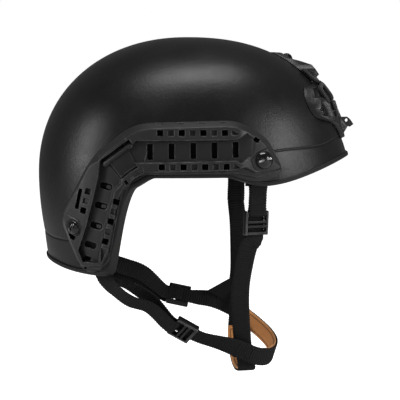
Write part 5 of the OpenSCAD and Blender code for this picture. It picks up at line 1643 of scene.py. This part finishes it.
def make_pad(node, place, thick, body="helmet"):
    """One pad: a closed block between its seat and its face, swollen, with a piping cord round its side."""
    rings = np.array([place(share, TURN, thick * depth) for share, depth in PAD_RINGS])
    solid = capped_tube(rings)
    back, face = rings[1].mean(0), rings[-1].mean(0)
    def pinned(points):
        """The points near the taped back."""
        flat = np.array([place(share, TURN, 0.0) for share in np.linspace(0.05, 0.9, 9)]).reshape(-1, 3)
        near = np.array([np.min(np.linalg.norm(flat - p, axis=1)) for p in points])
        return near < HELD_REACH
    shape = outside_out(*swollen(*solid, pinned))
    line = np.array([place(0.985, turn, thick * 0.42) for turn in np.linspace(0, 360, 161)])
    piping = tube_solid(line, PIPING_R, 10, tuple(unit(back - face)))
    marks = {"edge": np.concatenate([np.zeros(len(shape[0])), np.ones(len(piping[0]))])}
    piece = dress(node, joined(shape, piping), "pad_fabric", body, sharp=None, marks=marks)
    smooth = piece.modifiers.new("smooth", "SUBSURF")
    smooth.levels = smooth.render_levels = 1


def make_pads():
    """The crown pad, the pads on the wall and the nape pad on its cradle."""
    make_pad("crown_pad", crown_pad_place, CROWN_PAD_T + SHELL_T + PAD_SEAT)
    make_pad("front_pad", wall_pad_place(0, -57, 17, 13, PAD_SEAT), PAD_T - 4)
    make_pad("rear_pad", wall_pad_place(180, -85, 24, 30, PAD_SEAT), PAD_T)
    for side, name in ((-1, "right"), (1, "left")):
        make_pad(name + "_front_pad", wall_pad_place(side * 52, -42, 17, 20, PAD_SEAT), PAD_T)
        make_pad(name + "_rear_pad", wall_pad_place(side * 122, -50, 18, 26, PAD_SEAT), PAD_T)
    make_pad("nape_pad", wall_pad_place(180, DIAL_Z, 29, 12, CRADLE_OFF - 2 * GAP), 9.0, "cradle")


# Fit system: bands, cradle, housing and dial

FIT_TRAVEL, BAND_W, BAND_T, DIAL_R, DIAL_T = 10.0, 12.0, 1.4, 14.0, 6.0
HOUSING_T, HOUSING_H, CRADLE_T, CRADLE_HALF = 7.0, 20.0, 2.4, 12.0
HOUSING_W = 4 * FIT_TRAVEL + 6
DIAL_Z = BACK_Z + DIAL_R
HOUSING_BACK = float(dome(180, BACK_Z, -SHELL_T - GAP - TRIM_T)[0]) + 1.5 + DIAL_T + GAP
CRADLE_OFF = ((MID_X - HOUSING_BACK - HOUSING_T - GAP) / float(swell(180, DIAL_Z + HOUSING_H / 2))
              - REAR_LEN - CRADLE_T)
# azimuth, height and distance off the dome along the right band
BAND_ROUTE = [(-78, -75, -9.2), (-88, -76, -9.2), (-100, -78, -10.5), (-112, -83, -13.5), (-122, -93, -16.5),
              (-131, -107, -19.4), (-140, -122, -21.2), (-149, -138, -23)]
BAND_HOLLOW, TOOTH_PITCH, TOOTH_H, TEETH_LEN = 0.3, 2.4, 0.22, 46
# radius and height of the knob's profile, from its shaft over the rim to the dished face
DIAL_PROFILE = [(3.0, -2.6), (3.0, -0.05), (13.2, 0.0), (13.8, 0.5), (14.0, 1.2), (14.0, 2.6), (14.0, 4.4),
                (13.8, 5.2), (13.2, 5.8), (12.2, 6.0), (10.8, 5.9), (10.2, 5.2), (8.0, 4.7), (4.6, 4.5),
                (4.2, 5.0), (1.6, 5.1)]
SCOOPS, SCOOP_DEPTH, MILL_DEPTH = 12, 0.9, 0.12


def make_bands():
    """Flexible bands with a raised edge and ratchet teeth, from the shell's sides into the housing."""
    inside = HOUSING_BACK + HOUSING_T / 2
    half = HOUSING_W / 2
    route = [dome(a, z, off - BAND_T / 2) for a, z, off in BAND_ROUTE]
    route += [(inside, -half - 14, DIAL_Z + 5), (inside, -half - 5, DIAL_Z + 1), (inside, -half + 1, DIAL_Z),
              (inside, -half + FIT_TRAVEL + 2, DIAL_Z)]
    ways = [unit(dome(a, z + 1, off) - dome(a, z, off)) for a, z, off in BAND_ROUTE] + [(0, 0, 1)] * 4
    path = ribbon_path(route, ways)
    along = path[0]
    u = np.linspace(-1, 1, 33)
    teeth = TOOTH_H * (0.5 + 0.5 * np.sign(np.sin(2 * math.pi * along / TOOTH_PITCH)))
    teeth = teeth * (along > along[-1] - TEETH_LEN)
    top = BAND_T / 2 - BAND_HOLLOW * (np.abs(u) < 0.78)[None] + (np.abs(u) < 0.34)[None] * teeth[:, None]
    top = top * np.maximum((1 - u ** 12)[None] ** 0.5, 0.25)
    front = on_ribbon(path, along[:, None], u * BAND_W / 2, top)
    back = on_ribbon(path, along[:, None], u[::-1] * BAND_W / 2, -top[:, ::-1])
    solid = capped_tube(np.concatenate([front, back], 1))
    start, end = np.array(route[1]), np.array(route[-3])
    pair = dress_pair("fit_band", solid, "band_plastic", None, sharp=35)
    for piece, flip in zip(pair, (1, -1)):
        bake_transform(piece)


def make_cradle():
    """A thin curved tray behind the nape pad, ribbed across its back and rounded at its ends."""
    a, b = np.meshgrid(np.linspace(-1, 1, 121), np.linspace(-1, 1, 41), indexing="ij")
    reach = np.maximum((1 - np.abs(a) ** 8) ** (1 / 8), 0.35)
    azimuth, z = 180 + 29.5 * a, DIAL_Z + (CRADLE_HALF - 0.2) * b * reach
    rib = 0.5 * hump(np.abs(b), 0.86, 0.08) + 0.35 * (np.cos(a * math.pi * 9) > 0.7) * (np.abs(b) < 0.7)
    back = dome(azimuth, z, CRADLE_OFF + CRADLE_T - 0.5 + rib)
    front = dome(azimuth, z, CRADLE_OFF)
    rings = np.concatenate([back, front[:, ::-1]], 1)
    dress("nape_cradle", capped_tube(rings), "band_plastic", "cradle", sharp=35)


def make_dial():
    """A knurled knob: finger scoops round it, a rim milled ten times as finely and a dished face."""
    turn = np.linspace(0, 360, 360, endpoint=False)
    scoop = SCOOP_DEPTH * np.clip(cosd(SCOOPS * turn), 0, 1) ** 1.5
    mill = MILL_DEPTH * (0.5 + 0.5 * np.sign(sind(10 * SCOOPS * turn)))
    rings = []
    for r, h in DIAL_PROFILE:
        reach = r - (scoop + mill) * ramp(11, 13.4, r)
        back = np.full(len(turn), HOUSING_BACK - GAP - h)
        rings.append(np.stack([back, reach * sind(turn), DIAL_Z + reach * cosd(turn)], -1))
    dress("fit_dial", capped_tube(np.array(rings)), "dial_rubber", "dial", sharp=38)


make_bands()
make_cradle()
make_dial()
make_pads()
refinish("band_plastic", "dial_housing")


# Camera, light and floor, as in a small white studio

# the camera: its distance from what it looks at and lens in millimetres, and the angles it looks from
CAMERA_FROM, CAMERA_UP, CAMERA_DISTANCE, CAMERA_LENS, SENSOR = -5.0, 5.0, 1500.0, 148.5, 36
LOOKED_AT = (6.6, 0, -119.4)
# each soft light: azimuth, elevation, distance, width and height in metres, and power
LIGHTS = {"top_light": (-75, 79, 1.15, 0.8, 0.2, 11.5), "rear_light": (-161, 13, 1.2, 0.24, 0.8, 11.5),
          "front_light": (-31, 15, 1.3, 0.42, 0.6, 14), "fill_light": (-95, 12, 2.0, 1.4, 1.0, 4)}
LIT_MIDDLE = (-0.005, 0, -0.09)
# strength of the white room in diffuse light, and the share of it that gloss shows
ROOM_FILL, MIRRORED_ROOM = 0.1, 0.06
FLOOR_Z, FLOOR_HALF, FLOOR_GLOW = -312.0, 9000.0, 0.96


def make_camera():
    """A camera at the wearer's right side, a little behind and above the helmet."""
    level = cosd(CAMERA_UP)
    back = np.array([sind(CAMERA_FROM) * level, -cosd(CAMERA_FROM) * level, sind(CAMERA_UP)])
    data = bpy.data.cameras.new("camera")
    data.sensor_width = SENSOR
    data.lens = CAMERA_LENS
    camera = put_in_scene("camera", data)
    camera.location = (np.array(LOOKED_AT) + back * CAMERA_DISTANCE) * MM
    camera.rotation_euler = (math.radians(90 - CAMERA_UP), 0, math.radians(CAMERA_FROM))
    bpy.context.scene.camera = camera


def soft_light(name, azimuth, elevation, distance, width, height, power):
    """A rectangular soft light that looks at the shell from an azimuth and elevation."""
    data = bpy.data.lights.new(name, "AREA")
    data.shape = "RECTANGLE"
    data.size, data.size_y = width, height
    data.energy = power
    light = put_in_scene(name, data)
    way = Vector((cosd(azimuth) * cosd(elevation), sind(azimuth) * cosd(elevation), sind(elevation)))
    light.location = Vector(LIT_MIDDLE) + way * distance
    light.rotation_euler = way.to_track_quat("Z", "Y").to_euler()


def make_light():
    """The soft lights in a white room, which is bright to the camera and faint as light."""
    for name, setting in LIGHTS.items():
        soft_light(name, *setting)
    world = bpy.data.worlds.new("studio")
    world.use_nodes = True
    tree = world.node_tree
    path = add_node(tree, "ShaderNodeLightPath").outputs
    seen = worked_out(tree, "MAXIMUM", path["Is Camera Ray"], path["Is Transmission Ray"])
    mirrored_share = worked_out(tree, "MULTIPLY", path["Is Glossy Ray"], MIRRORED_ROOM)
    shown = worked_out(tree, "MAXIMUM", seen, mirrored_share)
    tree.links.new(spread(tree, shown, ROOM_FILL), tree.nodes["Background"].inputs["Strength"])
    tree.nodes["Background"].inputs["Color"].default_value = (1, 1, 1, 1)
    bpy.context.scene.world = world


def make_floor():
    """A wide pale floor below the helmet, white to the camera where no shadow falls on it."""
    mesh = bpy.data.meshes.new("floor")
    corners = np.array([(x, y, FLOOR_Z) for x, y in ((-FLOOR_HALF, -FLOOR_HALF), (FLOOR_HALF, -FLOOR_HALF),
                                                     (FLOOR_HALF, FLOOR_HALF), (-FLOOR_HALF, FLOOR_HALF))])
    mesh.from_pydata([tuple(c) for c in corners * MM], [], [(0, 1, 2, 3)])
    floor = put_in_scene("floor", mesh)
    material, tree, shader, place = start_material("pale_floor", 0.9, 0.1)
    cloudy = blend_colour(tree, dust_on(tree, place, 3.0), grey(0.8), grey(0.82))
    tree.links.new(cloudy, shader.inputs["Base Color"])
    to_camera = add_node(tree, "ShaderNodeLightPath").outputs["Is Camera Ray"]
    lit = add_node(tree, "ShaderNodeEmission", {"Strength": spread(tree, to_camera, 0.0, FLOOR_GLOW)})
    both = add_node(tree, "ShaderNodeAddShader", {0: shader.outputs[0], 1: lit.outputs[0]})
    tree.links.new(both.outputs[0], tree.nodes["Material Output"].inputs["Surface"])
    mesh.materials.append(material)


make_camera()
make_light()
make_floor()
bpy.context.scene.view_settings.view_transform = "Standard"
